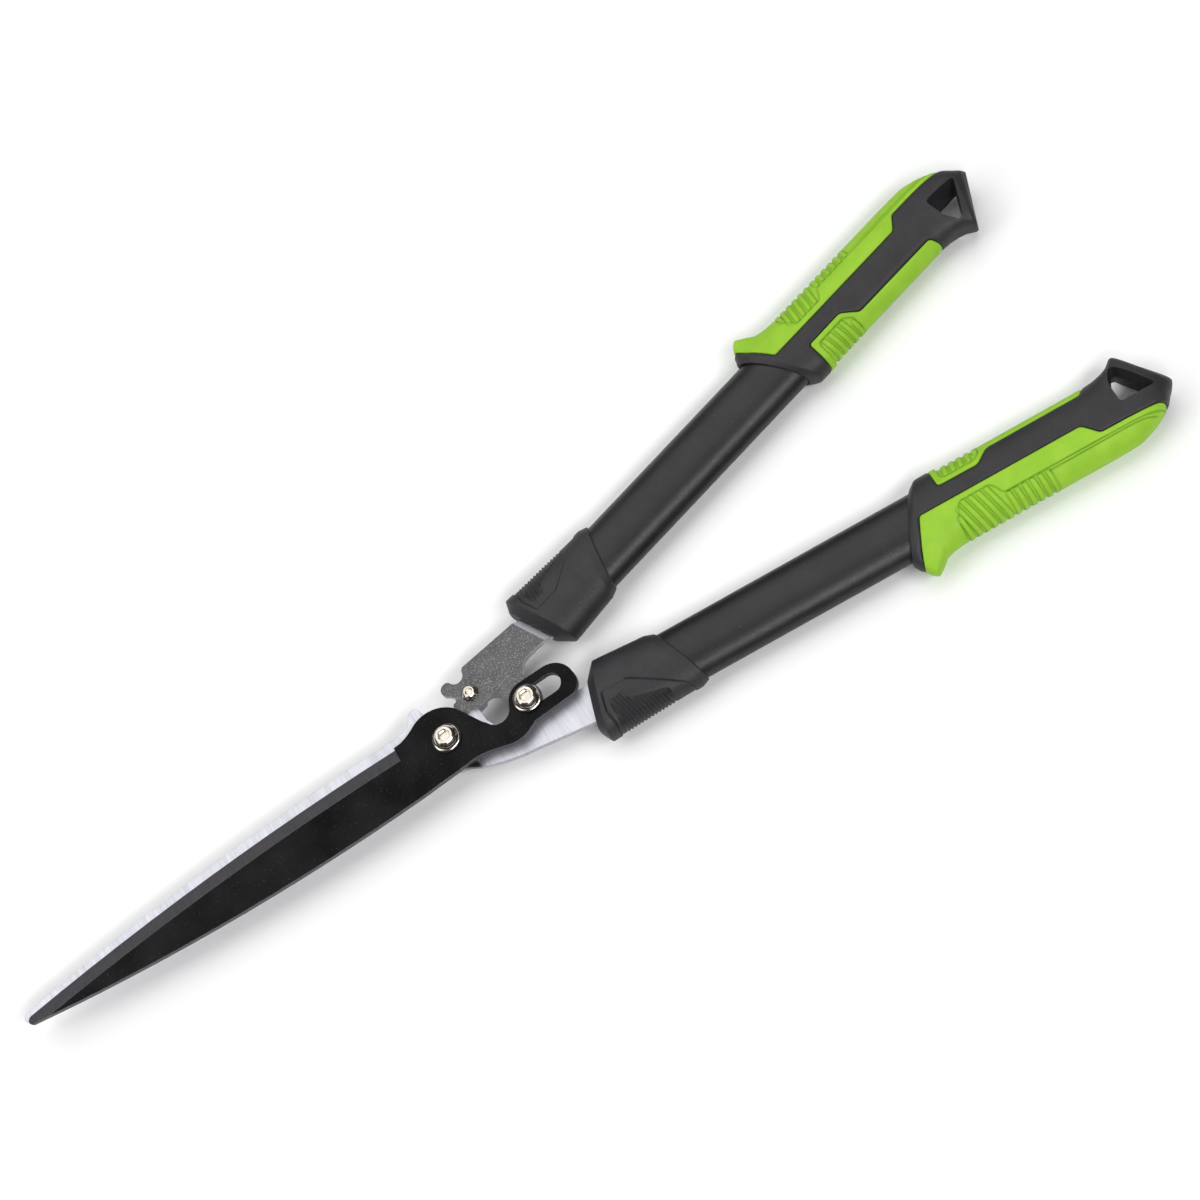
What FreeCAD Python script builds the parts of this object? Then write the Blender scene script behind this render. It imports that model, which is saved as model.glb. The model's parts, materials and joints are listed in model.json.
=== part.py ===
import FreeCAD, Part
import math
import os
import Sketcher

# Hedge shears whose upper blade is driven by a lever through a pin in a slot.
# Millimetres and degrees. +X runs from the blade tips to the grips, and +Z is up
# through the blades. The tool is laid out from its main pivot, in the plane where
# the two blades slide on each other; at the end every piece is moved so that the
# part's origin is on the ground under the middle of the closed tool.

Vector = FreeCAD.Vector
UP = Vector(0, 0, 1)

SIZES = [
    # the part's origin, seen from the main pivot
    ("origin_x", 66.21),
    ("origin_y", -4.5),
    ("origin_z", -17.1),
    # plates
    ("plate_thick", 3.2),
    ("layer_gap", 0.15),
    ("bevel_width", 7.8),
    ("edge_land", 0.3),
    ("cut_edge_radius", 1550.0),
    ("cut_edge_sweep", 9.5),
    ("blade_turn", 4.71),
    ("upper_back_radius", 1235.0),
    ("lower_back_radius", 1413.0),
    # the strip of the lower blade that steps down behind the pivot
    ("step_heading", -22.2),
    ("step_run", 4.0),
    ("step_width", 22.9),
    ("step_ahead", 8.15),
    ("step_left", 6.0),
    # the lever plate's bend, where it crosses the handle's axis
    ("bend_start", -186.0),
    ("bend_end", -182.4),
    # pivots, in plan
    ("lever_pivot_x", 22.2),
    ("lever_pivot_y", 13.3),
    ("slot_pin_x", 43.3),
    ("slot_pin_y", -9.9),
    ("slot_turn", -4.5),
    ("slot_width", 10.5),
    ("slot_reach", 14.0),
    ("slot_lead", 0.6),
    # fasteners
    ("running_gap", 0.05),
    ("bolt_radius", 4.0),
    ("bush_radius", 5.0),
    ("stud_radius", 3.0),
    ("screw_radius", 2.5),
    ("lever_bush_radius", 4.0),
    ("head_radius", 7.1),
    ("head_height", 4.4),
    ("head_crown", 7.55),
    ("head_crown_drop", 1.88),
    ("socket_radius", 3.1),
    ("socket_depth", 2.8),
    ("screw_head_radius", 4.4),
    ("screw_head_height", 2.75),
    ("screw_head_crown", 4.79),
    ("screw_head_crown_drop", 1.4),
    ("screw_socket_radius", 1.85),
    ("screw_socket_depth", 1.7),
    ("washer_radius", 7.5),
    ("slot_washer_radius", 7.4),
    ("back_washer_radius", 7.5),
    ("washer_thick", 0.9),
    ("bolt_nut_radius", 7.5),
    ("bolt_nut_height", 6.5),
    ("stud_nut_radius", 5.77),
    ("stud_nut_height", 5.0),
    ("screw_nut_radius", 4.62),
    ("screw_nut_height", 4.0),
    ("thread_proud", 1.4),
    ("nut_foot", 0.88),
    # handles: both axes meet at one point behind the pivot
    ("handle_angle", 9.68),
    ("handle_meet_x", -88.6),
    ("handle_meet_y", -4.5),
    ("handle_reach", 339.8),
    ("handle_level", -5.1),
    ("tang_width", 19.2),
    ("tang_offset", -1.0),
    ("tang_end", -126.0),
    ("tube_half_width", 16.1),
    ("tube_half_height", 9.6),
    ("tube_wall", 1.5),
    ("tube_front", -168.0),
    ("tube_back", 88.0),
    ("insert_back", -124.0),
    ("fit_gap", 0.05),
    ("rivet_radius", 2.5),
    ("first_rivet", -162.0),
    ("rivet_pitch", 16.0),
    ("rivet_short", 0.3),
    # collars, given where their front and back faces cross the handle's axis
    ("collar_front", -181.9),
    ("collar_shoulder", -177.2),
    ("collar_rear_shoulder", -138.0),
    ("collar_back", -133.1),
    ("collar_front_slant", 13.06),
    ("collar_back_slant", -21.8),
    ("collar_half_width", 20.9),
    ("collar_half_height", 12.0),
    ("collar_rear_width", 18.9),
    ("collar_rear_height", 11.2),
    ("collar_rim", 1.2),
    ("collar_nose_width", 15.466),
    ("collar_nose_height", 7.2),
    ("mouth_gap", 0.2),
    # grips
    ("ring_front", -5.8),
    ("ring_shoulder", 0.7),
    ("ring_slant", 25.64),
    ("ring_half_width", 18.0),
    ("ring_half_height", 10.4),
    ("grip_half_width", 20.3),
    ("grip_half_height", 11.9),
    ("grip_straight", 92.0),
    ("tail_spread", 112.0),
    ("tail_half_width", 27.0),
    ("tail_half_height", 10.4),
    ("tail_offset", -4.0),
    ("tail_end", 138.0),
    ("tail_end_width", 25.0),
    ("tail_end_height", 7.2),
    ("tail_end_offset", -12.0),
    ("pad_thick", 2.1),
    ("pad_thick_up", 1.2),
    ("hook_half_height", 6.5),
]
size = dict(SIZES)

doc = FreeCAD.newDocument("hedge_shears")
sheet = doc.addObject("Spreadsheet::Sheet", "Size")
for row, (alias, value) in enumerate(SIZES, 1):
    sheet.set("A%d" % row, alias)
    sheet.set("B%d" % row, str(value))
    sheet.setAlias("B%d" % row, alias)
doc.recompute()

sub_parts = []

# Levels of the plates, as expressions on the sheet.
UPPER_TOP = "Size.plate_thick"
LEVER_TOP = "-Size.layer_gap"
LEVER_BOTTOM = "-Size.plate_thick - Size.layer_gap"
TANG_TOP = "-Size.plate_thick - 2 * Size.layer_gap"
TANG_BOTTOM = "-2 * Size.plate_thick - 2 * Size.layer_gap"


# ---------------------------------------------------------------- building blocks

def bind(item, bindings):
    """Tie each named property to an expression on the sheet."""
    for name, expression in bindings.items():
        item.setExpression(name, expression)
    return item


def solid(kind, name, bindings, x="0", y="0", z="0"):
    """A primitive at a place, with every size tied to the sheet."""
    item = doc.addObject("Part::" + kind, name)
    bind(item, bindings)
    return bind(item, {"Placement.Base.x": x, "Placement.Base.y": y, "Placement.Base.z": z})


def cylinder(name, radius, height, x="0", y="0", z="0"):
    return solid("Cylinder", name, {"Radius": radius, "Height": height}, x, y, z)


def hexagon(name, circumradius, height, x="0", y="0", z="0"):
    item = solid("Prism", name, {"Circumradius": circumradius, "Height": height}, x, y, z)
    item.Polygon = 6
    return item


def box(name, length, width, height, x, y, z):
    return solid("Box", name, {"Length": length, "Width": width, "Height": height}, x, y, z)


def fuse(name, items):
    item = doc.addObject("Part::MultiFuse", name)
    item.Shapes = items
    return item


def common(name, items):
    item = doc.addObject("Part::MultiCommon", name)
    item.Shapes = items
    return item


def cut(name, base, tool):
    item = doc.addObject("Part::Cut", name)
    item.Base = base
    item.Tool = tool
    return item


def piece(item, label):
    """Mark an object as a finished sub-part."""
    item.Label = label
    sub_parts.append(item)
    return item


# ---------------------------------------------------------------- plan outlines

def arc_over(start, middle, end):
    """The arc through three points, kept counter-clockwise as a sketch wants it."""
    circle = Part.Circle(start, middle, end)
    ends = []
    for point in (start, end):
        spoke = point - circle.Center
        ends.append(math.atan2(spoke.y, spoke.x))
    if (middle - start).cross(end - middle).z < 0:
        ends.reverse()
    return Part.ArcOfCircle(Part.Circle(circle.Center, UP, circle.Radius), ends[0], ends[1])


def outline(name, path):
    """A closed sketch. A step (x, y) is a straight side to that corner; a step
    (x, y, over_x, over_y) is an arc to it over the second point."""
    sketch = doc.addObject("Sketcher::SketchObject", name)
    start = Vector(path[-1][0], path[-1][1], 0)
    for step in path:
        end = Vector(step[0], step[1], 0)
        if len(step) == 2:
            edge = Part.LineSegment(start, end)
        else:
            edge = arc_over(start, Vector(step[2], step[3], 0), end)
        index = sketch.addGeometry(edge, False)
        sketch.addConstraint(Sketcher.Constraint("Block", index))
        start = end
    return sketch


def plate(name, path, height, z):
    """A flat plate of the outline's shape, from level z up."""
    sketch = bind(outline(name + "_outline", path), {"Placement.Base.z": z})
    item = doc.addObject("Part::Extrusion", name)
    item.Base = sketch
    item.DirMode = "Custom"
    item.Dir = UP
    item.Solid = True
    return bind(item, {"LengthFwd": height})


def block(name, path, half_height):
    """A block of the outline's shape, as deep below its own plane as above."""
    return plate(name, path, "2 * (%s)" % half_height, "-(%s)" % half_height)


def rounded(corners, radius):
    """Path of a polygon with every corner rounded."""
    path = []
    for index, corner in enumerate(corners):
        here = Vector(corner[0], corner[1], 0)
        before = Vector(corners[index - 1][0], corners[index - 1][1], 0) - here
        after = Vector(*corners[(index + 1) % len(corners)], 0) - here
        half = before.getAngle(after) / 2
        inward = (before.normalize() + after.normalize()).normalize()
        enter = here + before * (radius / math.tan(half))
        leave = here + after * (radius / math.tan(half))
        over = here + inward * (radius / math.sin(half) - radius)
        path.append((enter.x, enter.y))
        path.append((leave.x, leave.y, over.x, over.y))
    return path


def long_arc(start, end, radius):
    """Middle and centre of a shallow arc that bulges to the left of the run from
    start to end, or to the right when the radius is negative."""
    first = Vector(start[0], start[1], 0)
    chord = Vector(end[0], end[1], 0) - first
    left = Vector(-chord.y, chord.x, 0).normalize() * math.copysign(1, radius)
    to_chord = math.sqrt(radius ** 2 - (chord.Length / 2) ** 2)
    centre = first + chord / 2 - left * to_chord
    middle = centre + left * abs(radius)
    return middle, centre


def over(end, middle):
    """A path step: an arc to the end point over the middle point."""
    return (end[0], end[1], middle[0], middle[1])


# ---------------------------------------------------------------- places in plan

def blade_point(along, across):
    """A point of a closed blade: along it from pivot to tip, across it toward +Y."""
    turn = math.radians(size["blade_turn"])
    x = -along * math.cos(turn) + across * math.sin(turn)
    y = along * math.sin(turn) + across * math.cos(turn)
    return (x, y)


def handle_point(side, along, outward):
    """A point of a handle: along its axis from the grip's ring, and outward from
    the axis. The side is 1 for the right handle and -1 for the left."""
    turn = math.radians(size["handle_angle"])
    reach = size["handle_reach"] + along
    x = size["handle_meet_x"] + reach * math.cos(turn) - outward * math.sin(turn)
    y = size["handle_meet_y"] + side * (reach * math.sin(turn) + outward * math.cos(turn))
    return (x, y)


def place_on_handle(item, side):
    """Move a piece built along X onto its handle; the left one is also rolled over."""
    x, y = handle_point(side, 0, 0)
    turn = FreeCAD.Rotation(UP, side * size["handle_angle"])
    roll = FreeCAD.Rotation(Vector(1, 0, 0), 0 if side > 0 else 180)
    item.Placement = FreeCAD.Placement(Vector(x, y, size["handle_level"]), turn * roll)
    return item


TANG_INNER = size["tang_offset"] - size["tang_width"] / 2
TANG_OUTER = size["tang_offset"] + size["tang_width"] / 2


# ---------------------------------------------------------------- blades and lever plate

def step_down(name, corner, turn, width, run, skew, top):
    """The sloped strip that takes a plate from its own level down to the tang's.
    Seen from above, the corner is its high left end and the turn that edge's heading."""
    item = doc.addObject("Part::Wedge", name)
    item.Xmin = 0
    item.Xmax = width
    item.X2min = skew
    item.X2max = width + skew
    item.Ymin = 0
    item.Ymax = run
    bind(item, {"Zmin": "%s - Size.plate_thick" % top, "Zmax": top,
                "Z2min": TANG_BOTTOM, "Z2max": TANG_TOP})
    item.Placement = FreeCAD.Placement(corner, FreeCAD.Rotation(UP, turn))
    return item


def bevel_tool(name, heel, centre, first_radius, last_radius, z, clockwise):
    """What a ground bevel takes off: the space outside a very shallow cone."""
    spoke = Vector(heel[0], heel[1], 0) - centre
    begin = math.degrees(math.atan2(spoke.y, spoke.x))
    if clockwise:
        begin -= size["cut_edge_sweep"]
    height = "Size.plate_thick - Size.edge_land"
    place = (str(centre.x), str(centre.y), z)
    outside = solid("Cylinder", name + "_outside",
                    {"Radius": "Size.cut_edge_radius + Size.bevel_width", "Height": height,
                     "Angle": "Size.cut_edge_sweep"}, *place)
    inside = solid("Cone", name + "_inside",
                   {"Radius1": first_radius, "Radius2": last_radius, "Height": height,
                    "Angle": "Size.cut_edge_sweep"}, *place)
    for item in (outside, inside):
        item.Placement.Rotation = FreeCAD.Rotation(UP, begin)
    return cut(name, outside, inside)


def tang_rivet_holes(name, side):
    """Holes for the two rivets through a tang."""
    holes = []
    for index in range(2):
        along = size["first_rivet"] + index * size["rivet_pitch"]
        x, y = handle_point(side, along, size["tang_offset"])
        holes.append(cylinder("%s_%d" % (name, index), "Size.rivet_radius + Size.fit_gap",
                              "4 * Size.plate_thick", str(x), str(y), "2 * (%s)" % TANG_BOTTOM))
    return holes


def make_upper_blade():
    heel = blade_point(25, 11.65)
    edge_tip = blade_point(247, 1.4)
    back_tip = blade_point(246.5, -3.9)
    back_heel = blade_point(25, -18.75)
    edge_middle, edge_centre = long_arc(edge_tip, heel, size["cut_edge_radius"])
    back_middle, back_centre = long_arc(back_heel, back_tip, size["upper_back_radius"])
    path = [
        # hub: a shoulder, then round the pivot
        (-19.7, 13.6), (-9.8, 16.8, -14.6, 14.8), (12.2, 9.9, 1.3, 17.6), (18.9, -4.8),
        # notch that clears the lever's screw when the blades are open
        (20.2, -6.6), (33.6, -7.0, 27.0, -11.5),
        # tail round the slot
        (34.2, -6.2), (44.1, -0.1, 36.9, -2.5), (58.65, -1.23), (68.7, -13.0, 66.2, -5.4),
        (62.5, -22.7, 67.2, -19.4), (39.8, -21.8), (36.0, -23.1), (22.5, -23.1, 29.0, -24.6),
        (17.0, -20.9), (5.0, -17.8, 12.0, -19.0),
        # back edge, tip and cutting edge
        back_heel, over(back_tip, back_middle), over(edge_tip, blade_point(248.7, -1.0)),
        over(heel, edge_middle),
    ]
    blank = plate("upper_blank", path, "Size.plate_thick", "0")
    bevel = bevel_tool("upper_bevel", heel, edge_centre, "Size.cut_edge_radius",
                       "Size.cut_edge_radius - Size.bevel_width", "Size.edge_land", False)
    bore = cylinder("upper_bore", "Size.bush_radius + Size.running_gap",
                    "3 * Size.plate_thick", z="-Size.plate_thick")
    slot = plate("upper_slot", slot_path(), "3 * Size.plate_thick", "-Size.plate_thick")
    piece(cut("upper_blade", blank, fuse("upper_cuts", [bevel, bore, slot])), "upper_blade")


def slot_path():
    """Round-ended slot in the upper blade's tail, starting just behind the pin."""
    turn = math.radians(size["slot_turn"])
    ahead = Vector(math.cos(turn), math.sin(turn), 0)
    half = Vector(-ahead.y, ahead.x, 0) * (size["slot_width"] / 2)
    near = Vector(size["slot_pin_x"], size["slot_pin_y"], 0) - ahead * size["slot_lead"]
    far = near + ahead * size["slot_reach"]
    far_end = far + ahead * half.Length
    near_end = near - ahead * half.Length
    return [(far.x - half.x, far.y - half.y),
            (far.x + half.x, far.y + half.y, far_end.x, far_end.y),
            (near.x + half.x, near.y + half.y),
            (near.x - half.x, near.y - half.y, near_end.x, near_end.y)]


def make_lower_blade():
    heel = blade_point(25, -11.65)
    edge_tip = blade_point(248, -1.6)
    back_tip = blade_point(247.5, 4.4)
    back_heel = blade_point(25, 17.2)
    edge_middle, edge_centre = long_arc(edge_tip, heel, -size["cut_edge_radius"])
    back_middle, back_centre = long_arc(back_heel, back_tip, -size["lower_back_radius"])

    # the strip that steps down behind the pivot, square to its heading
    heading = math.radians(size["step_heading"])
    ahead = Vector(math.cos(heading), math.sin(heading), 0)
    left = Vector(-ahead.y, ahead.x, 0)
    high_left = ahead * size["step_ahead"] + left * size["step_left"]
    high_right = high_left - left * size["step_width"]
    low_left = high_left + ahead * size["step_run"]
    low_right = high_right + ahead * size["step_run"]

    raised_path = [
        # hub, from the heel of the cutting edge round to the step
        (-17.0, -11.5), (-6.0, -15.8), (high_right.x, high_right.y), (high_left.x, high_left.y),
        # hollow round the lever's sweep, then the stop lobe
        (7.6, 4.0), (4.8, 15.5, 4.4, 13.3), (0.5, 17.6), (-3.2, 19.5), (-3.2, 22.3),
        (-10.0, 22.9, -6.6, 25.7), (-12.0, 21.0), (-17.5, 18.9, -14.0, 19.6),
        # back edge, tip and cutting edge
        back_heel, over(back_tip, back_middle), over(edge_tip, blade_point(250.3, 1.8)),
        over(heel, edge_middle),
    ]
    tang_path = [
        # ear under the lever's pivot
        (13.6, 5.0), (13.4, 13.3), (31.0, 13.3, 22.2, 22.1), (25.0, 5.0), (20.8, 4.4),
        (20.7, -2.0), (24.0, -12.0), (34.0, -15.5),
        # tang of the left handle
        handle_point(-1, -186.0, TANG_INNER), handle_point(-1, size["tang_end"], TANG_INNER),
        handle_point(-1, size["tang_end"], TANG_OUTER), handle_point(-1, -186.0, TANG_OUTER),
        (33.0, -31.0), (low_right.x, low_right.y, 18.0, -26.5), (low_left.x, low_left.y),
    ]
    raised = plate("lower_raised", raised_path, "Size.plate_thick", "-Size.plate_thick")
    step = step_down("lower_step", high_left, size["step_heading"] - 90,
                     size["step_width"], size["step_run"], 0, "0")
    tang = plate("lower_tang", tang_path, "Size.plate_thick", TANG_BOTTOM)
    bevel = bevel_tool("lower_bevel", heel, edge_centre,
                       "Size.cut_edge_radius - Size.bevel_width", "Size.cut_edge_radius",
                       "-Size.plate_thick", True)
    bore = cylinder("lower_bore", "Size.bush_radius + Size.running_gap",
                    "3 * Size.plate_thick", z="-2 * Size.plate_thick")
    ear_hole = cylinder("ear_hole", "Size.screw_radius + Size.fit_gap", "4 * Size.plate_thick",
                        "Size.lever_pivot_x", "Size.lever_pivot_y", "-4 * Size.plate_thick")
    blank = fuse("lower_blank", [raised, step, tang])
    cuts = fuse("lower_cuts", [bevel, bore, ear_hole] + tang_rivet_holes("lower_rivet_hole", -1))
    piece(cut("lower_blade", blank, cuts), "lower_blade")


def make_lever_plate():
    # the bend crosses the handle askew, just before the collar
    skew = math.tan(math.radians(size["collar_front_slant"]))
    bend_outer = handle_point(1, size["bend_start"] - skew * TANG_OUTER, TANG_OUTER)
    bend_inner = handle_point(1, size["bend_start"] - skew * TANG_INNER, TANG_INNER)
    tang_outer = handle_point(1, size["bend_end"] - skew * TANG_OUTER, TANG_OUTER)
    tang_inner = handle_point(1, size["bend_end"] - skew * TANG_INNER, TANG_INNER)
    bend = Vector(bend_inner[0] - bend_outer[0], bend_inner[1] - bend_outer[1], 0)
    shift = Vector(tang_outer[0] - bend_outer[0], tang_outer[1] - bend_outer[1], 0)
    along = Vector(bend).normalize()
    heading = math.degrees(math.atan2(along.y, along.x))

    path = [
        # arm toward the right handle
        bend_outer, bend_inner, (57.5, 10.3), (48.3, 3.0, 51.8, 8.3),
        # boss of the slot pin
        (48.5, -5.5), (36.9, -12.2, 43.3, -16.7), (34.3, -5.0),
        # hollow, then the boss of the lever's own pivot
        (22.6, 3.7, 27.0, 5.1), (20.8, 4.6), (17.5, 7.2, 19.5, 6.0), (15.0, 7.2),
        (12.5, 9.0), (12.5, 14.2, 11.3, 11.6), (14.9, 16.8, 14.8, 15.2), (13.0, 19.0),
        (11.2, 20.6),
        # finger and the curl behind it
        (14.1, 26.2, 10.7, 22.8), (16.9, 24.8, 16.0, 25.8), (24.6, 24.1, 20.8, 21.9),
        (25.3, 26.3), (26.6, 27.5),
    ]
    tang_path = [tang_outer, tang_inner, handle_point(1, size["tang_end"], TANG_INNER),
                 handle_point(1, size["tang_end"], TANG_OUTER)]
    arm = plate("lever_arm", path, "Size.plate_thick", LEVER_BOTTOM)
    step = step_down("lever_step", Vector(bend_outer[0], bend_outer[1], 0), heading,
                     bend.Length, abs(along.cross(shift).z), along.dot(shift), LEVER_TOP)
    tang = plate("lever_tang", tang_path, "Size.plate_thick", TANG_BOTTOM)
    pivot_hole = cylinder("lever_pivot_hole", "Size.lever_bush_radius + Size.running_gap",
                          "3 * Size.plate_thick", "Size.lever_pivot_x", "Size.lever_pivot_y",
                          "-2 * Size.plate_thick")
    pin_hole = cylinder("lever_pin_hole", "Size.bolt_radius + Size.fit_gap",
                        "3 * Size.plate_thick", "Size.slot_pin_x", "Size.slot_pin_y",
                        "-2 * Size.plate_thick")
    blank = fuse("lever_blank", [arm, step, tang])
    cuts = fuse("lever_cuts", [pivot_hole, pin_hole] + tang_rivet_holes("lever_rivet_hole", 1))
    piece(cut("lever_plate", blank, cuts), "lever_plate")


# ---------------------------------------------------------------- fasteners

def button_head(name, kind, x, y, z):
    """A button head standing on level z: a thin rim, a domed crown that ends in a
    flat, and a hexagon socket. The kind names its row of sizes on the sheet."""
    height = "Size.%s_height" % kind
    drum = cylinder(name + "_drum", "Size.%s_radius" % kind, height, x, y, z)
    crown = solid("Sphere", name + "_crown", {"Radius": "Size.%s_crown" % kind}, x, y,
                  "%s - Size.%s_crown_drop" % (z, kind))
    depth = "Size.%s_depth" % kind.replace("head", "socket")
    socket = hexagon(name + "_socket", "Size.%s_radius" % kind.replace("head", "socket"),
                     "2 * %s" % depth, x, y, "%s + %s - %s" % (z, height, depth))
    return cut(name, common(name + "_solid", [drum, crown]), socket)


def washer(name, radius, hole, thick, x, y, z):
    disc = cylinder(name + "_disc", radius, thick, x, y, z)
    opening = cylinder(name + "_hole", hole, "3 * (%s)" % thick, x, y,
                       "%s - (%s)" % (z, thick))
    return piece(cut(name, disc, opening), name)


def nut(name, radius, hole, height, x, y, z):
    """A hexagon nut whose top is at level z, with its far corners turned off."""
    hexagonal = hexagon(name + "_hexagon", radius, height, x, y, "%s - %s" % (z, height))
    foot = "Size.nut_foot * %s" % radius
    turned = solid("Cone", name + "_turned",
                   {"Radius1": foot, "Radius2": "%s + 2 * %s" % (foot, height),
                    "Height": height}, x, y, "%s - %s" % (z, height))
    opening = cylinder(name + "_hole", hole, "3 * %s" % height, x, y, "%s - 2 * %s" % (z, height))
    return piece(cut(name, common(name + "_solid", [hexagonal, turned]), opening), name)


def make_pivot_set():
    """Main pivot: bolt, washers, bush through both blades, nut."""
    float_up = "Size.plate_thick + Size.running_gap"
    head_level = "%s + Size.washer_thick" % float_up
    nut_level = "-(%s)" % head_level
    foot = "%s + Size.bolt_nut_height + Size.thread_proud" % head_level
    head = button_head("pivot_head", "head", "0", "0", head_level)
    shank = cylinder("pivot_shank", "Size.bolt_radius", "%s + %s" % (foot, head_level),
                     z="-(%s)" % foot)
    piece(fuse("pivot_bolt", [head, shank]), "pivot_bolt")
    washer("pivot_washer_top", "Size.washer_radius", "Size.bolt_radius + Size.running_gap",
           "Size.washer_thick", "0", "0", float_up)
    washer("pivot_bush", "Size.bush_radius", "Size.bolt_radius + Size.running_gap",
           "2 * (%s)" % float_up, "0", "0", "-(%s)" % float_up)
    washer("pivot_washer_bottom", "Size.back_washer_radius",
           "Size.bolt_radius + Size.running_gap", "Size.washer_thick", "0", "0", nut_level)
    nut("pivot_nut", "Size.bolt_nut_radius", "Size.bolt_radius", "Size.bolt_nut_height",
        "0", "0", nut_level)


def make_slot_set():
    """Pin of the slot: shouldered bolt, washer, roller in the slot, nut."""
    x = "Size.slot_pin_x"
    y = "Size.slot_pin_y"
    roller_foot = "-Size.layer_gap + Size.running_gap"
    washer_level = "Size.plate_thick + 2 * Size.running_gap"
    head_level = "%s + Size.washer_thick" % washer_level
    shoulder = "-Size.plate_thick - Size.layer_gap - Size.running_gap"
    foot = "%s - Size.stud_nut_height - Size.thread_proud" % shoulder
    head = button_head("slot_head", "head", x, y, head_level)
    shank = cylinder("slot_shank", "Size.bolt_radius", "%s - (%s)" % (head_level, shoulder),
                     x, y, shoulder)
    stud = cylinder("slot_stud", "Size.stud_radius", "%s - (%s)" % (shoulder, foot), x, y, foot)
    piece(fuse("slot_bolt", [head, shank, stud]), "slot_bolt")
    washer("slot_washer", "Size.slot_washer_radius", "Size.bolt_radius + Size.running_gap",
           "Size.washer_thick", x, y, washer_level)
    washer("slot_roller", "Size.bush_radius", "Size.bolt_radius + Size.running_gap",
           "%s - (%s)" % (washer_level, roller_foot), x, y, roller_foot)
    nut("slot_nut", "Size.stud_nut_radius", "Size.stud_radius", "Size.stud_nut_height",
        x, y, shoulder)


def make_lever_set():
    """Pivot of the lever: screw, bush in the lever plate, nut under the ear."""
    x = "Size.lever_pivot_x"
    y = "Size.lever_pivot_y"
    head_level = "-Size.layer_gap + Size.running_gap"
    foot = "%s - Size.screw_nut_height - Size.thread_proud" % TANG_BOTTOM
    head = button_head("screw_head", "screw_head", x, y, head_level)
    shank = cylinder("screw_shank", "Size.screw_radius", "%s - (%s)" % (head_level, foot),
                     x, y, foot)
    piece(fuse("lever_screw", [head, shank]), "lever_screw")
    washer("lever_bush", "Size.lever_bush_radius", "Size.screw_radius + Size.running_gap",
           "%s - (%s)" % (head_level, TANG_TOP), x, y, TANG_TOP)
    nut("lever_nut", "Size.screw_nut_radius", "Size.screw_radius", "Size.screw_nut_height",
        x, y, TANG_BOTTOM)


# ---------------------------------------------------------------- handles

def oval(name, half_width, half_height, x, y="0", slant="0"):
    """An upright oval across the handle, turned askew by the slant."""
    item = doc.addObject("Part::Ellipse", name)
    askew = size.get(slant, 0)
    upright = FreeCAD.Rotation(Vector(1, 1, 1), 120)
    item.Placement.Rotation = FreeCAD.Rotation(UP, askew).multiply(upright)
    width = "(%s) / cos(%s deg)" % (half_width, askew)
    return bind(item, {"MajorRadius": width, "MinorRadius": half_height,
                       "Placement.Base.x": x, "Placement.Base.y": y})


def oval_bar(name, half_width, half_height, start, end):
    item = doc.addObject("Part::Extrusion", name)
    item.Base = oval(name + "_section", half_width, half_height, start)
    item.DirMode = "Custom"
    item.Dir = Vector(1, 0, 0)
    item.Solid = True
    return bind(item, {"LengthFwd": "(%s) - (%s)" % (end, start)})


def oval_form(name, sections):
    """A body run through a row of ovals."""
    item = doc.addObject("Part::Loft", name)
    item.Sections = [oval("%s_%d" % (name, index), *section)
                     for index, section in enumerate(sections)]
    item.Solid = True
    item.Ruled = True
    return item


def tang_opening(name, gap, start, end):
    """The flat opening a tang slides into."""
    return box(name, "(%s) - (%s)" % (end, start), "Size.tang_width + 2 * %s" % gap,
               "Size.plate_thick + 2 * %s" % gap, start,
               "Size.tang_offset - Size.tang_width / 2 - %s" % gap,
               "-Size.plate_thick / 2 - %s" % gap)


def rivet_row(name, radius):
    """Two upright pins through the tube, a hair short of its outside."""
    length = "2 * (Size.tube_half_height - Size.rivet_short)"
    pins = []
    for index in range(2):
        pins.append(cylinder("%s_%d" % (name, index), radius, length,
                             "Size.first_rivet + %d * Size.rivet_pitch" % index,
                             "Size.tang_offset", "-(%s) / 2" % length))
    return pins


def rivet_holes(name):
    """Holes for the rivets, right through the tube."""
    holes = []
    for index in range(2):
        holes.append(cylinder("%s_%d" % (name, index), "Size.rivet_radius + Size.fit_gap",
                              "4 * Size.tube_half_height",
                              "Size.first_rivet + %d * Size.rivet_pitch" % index,
                              "Size.tang_offset", "-2 * Size.tube_half_height"))
    return holes


def make_tube(side, hand):
    outside = oval_bar(hand + "tube_outside", "Size.tube_half_width", "Size.tube_half_height",
                       "Size.tube_front", "Size.tube_back")
    inside = oval_bar(hand + "tube_inside", "Size.tube_half_width - Size.tube_wall",
                      "Size.tube_half_height - Size.tube_wall",
                      "Size.tube_front - 5", "Size.tube_back + 5")
    tools = fuse(hand + "tube_cuts", [inside] + rivet_holes(hand + "tube_hole"))
    return place_on_handle(piece(cut(hand + "tube", outside, tools), hand + "tube"), side)


def make_tang_insert(side, hand):
    plug = oval_bar(hand + "plug", "Size.tube_half_width - Size.tube_wall - Size.fit_gap",
                    "Size.tube_half_height - Size.tube_wall - Size.fit_gap",
                    "Size.tube_front + 2 * Size.fit_gap", "Size.insert_back")
    opening = tang_opening(hand + "plug_opening", "Size.fit_gap", "Size.tube_front - 5",
                           "Size.tang_end + Size.fit_gap")
    tools = fuse(hand + "plug_cuts", [opening] + rivet_holes(hand + "plug_hole"))
    item = piece(cut(hand + "tang_insert", plug, tools), hand + "tang_insert")
    return place_on_handle(item, side)


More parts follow.
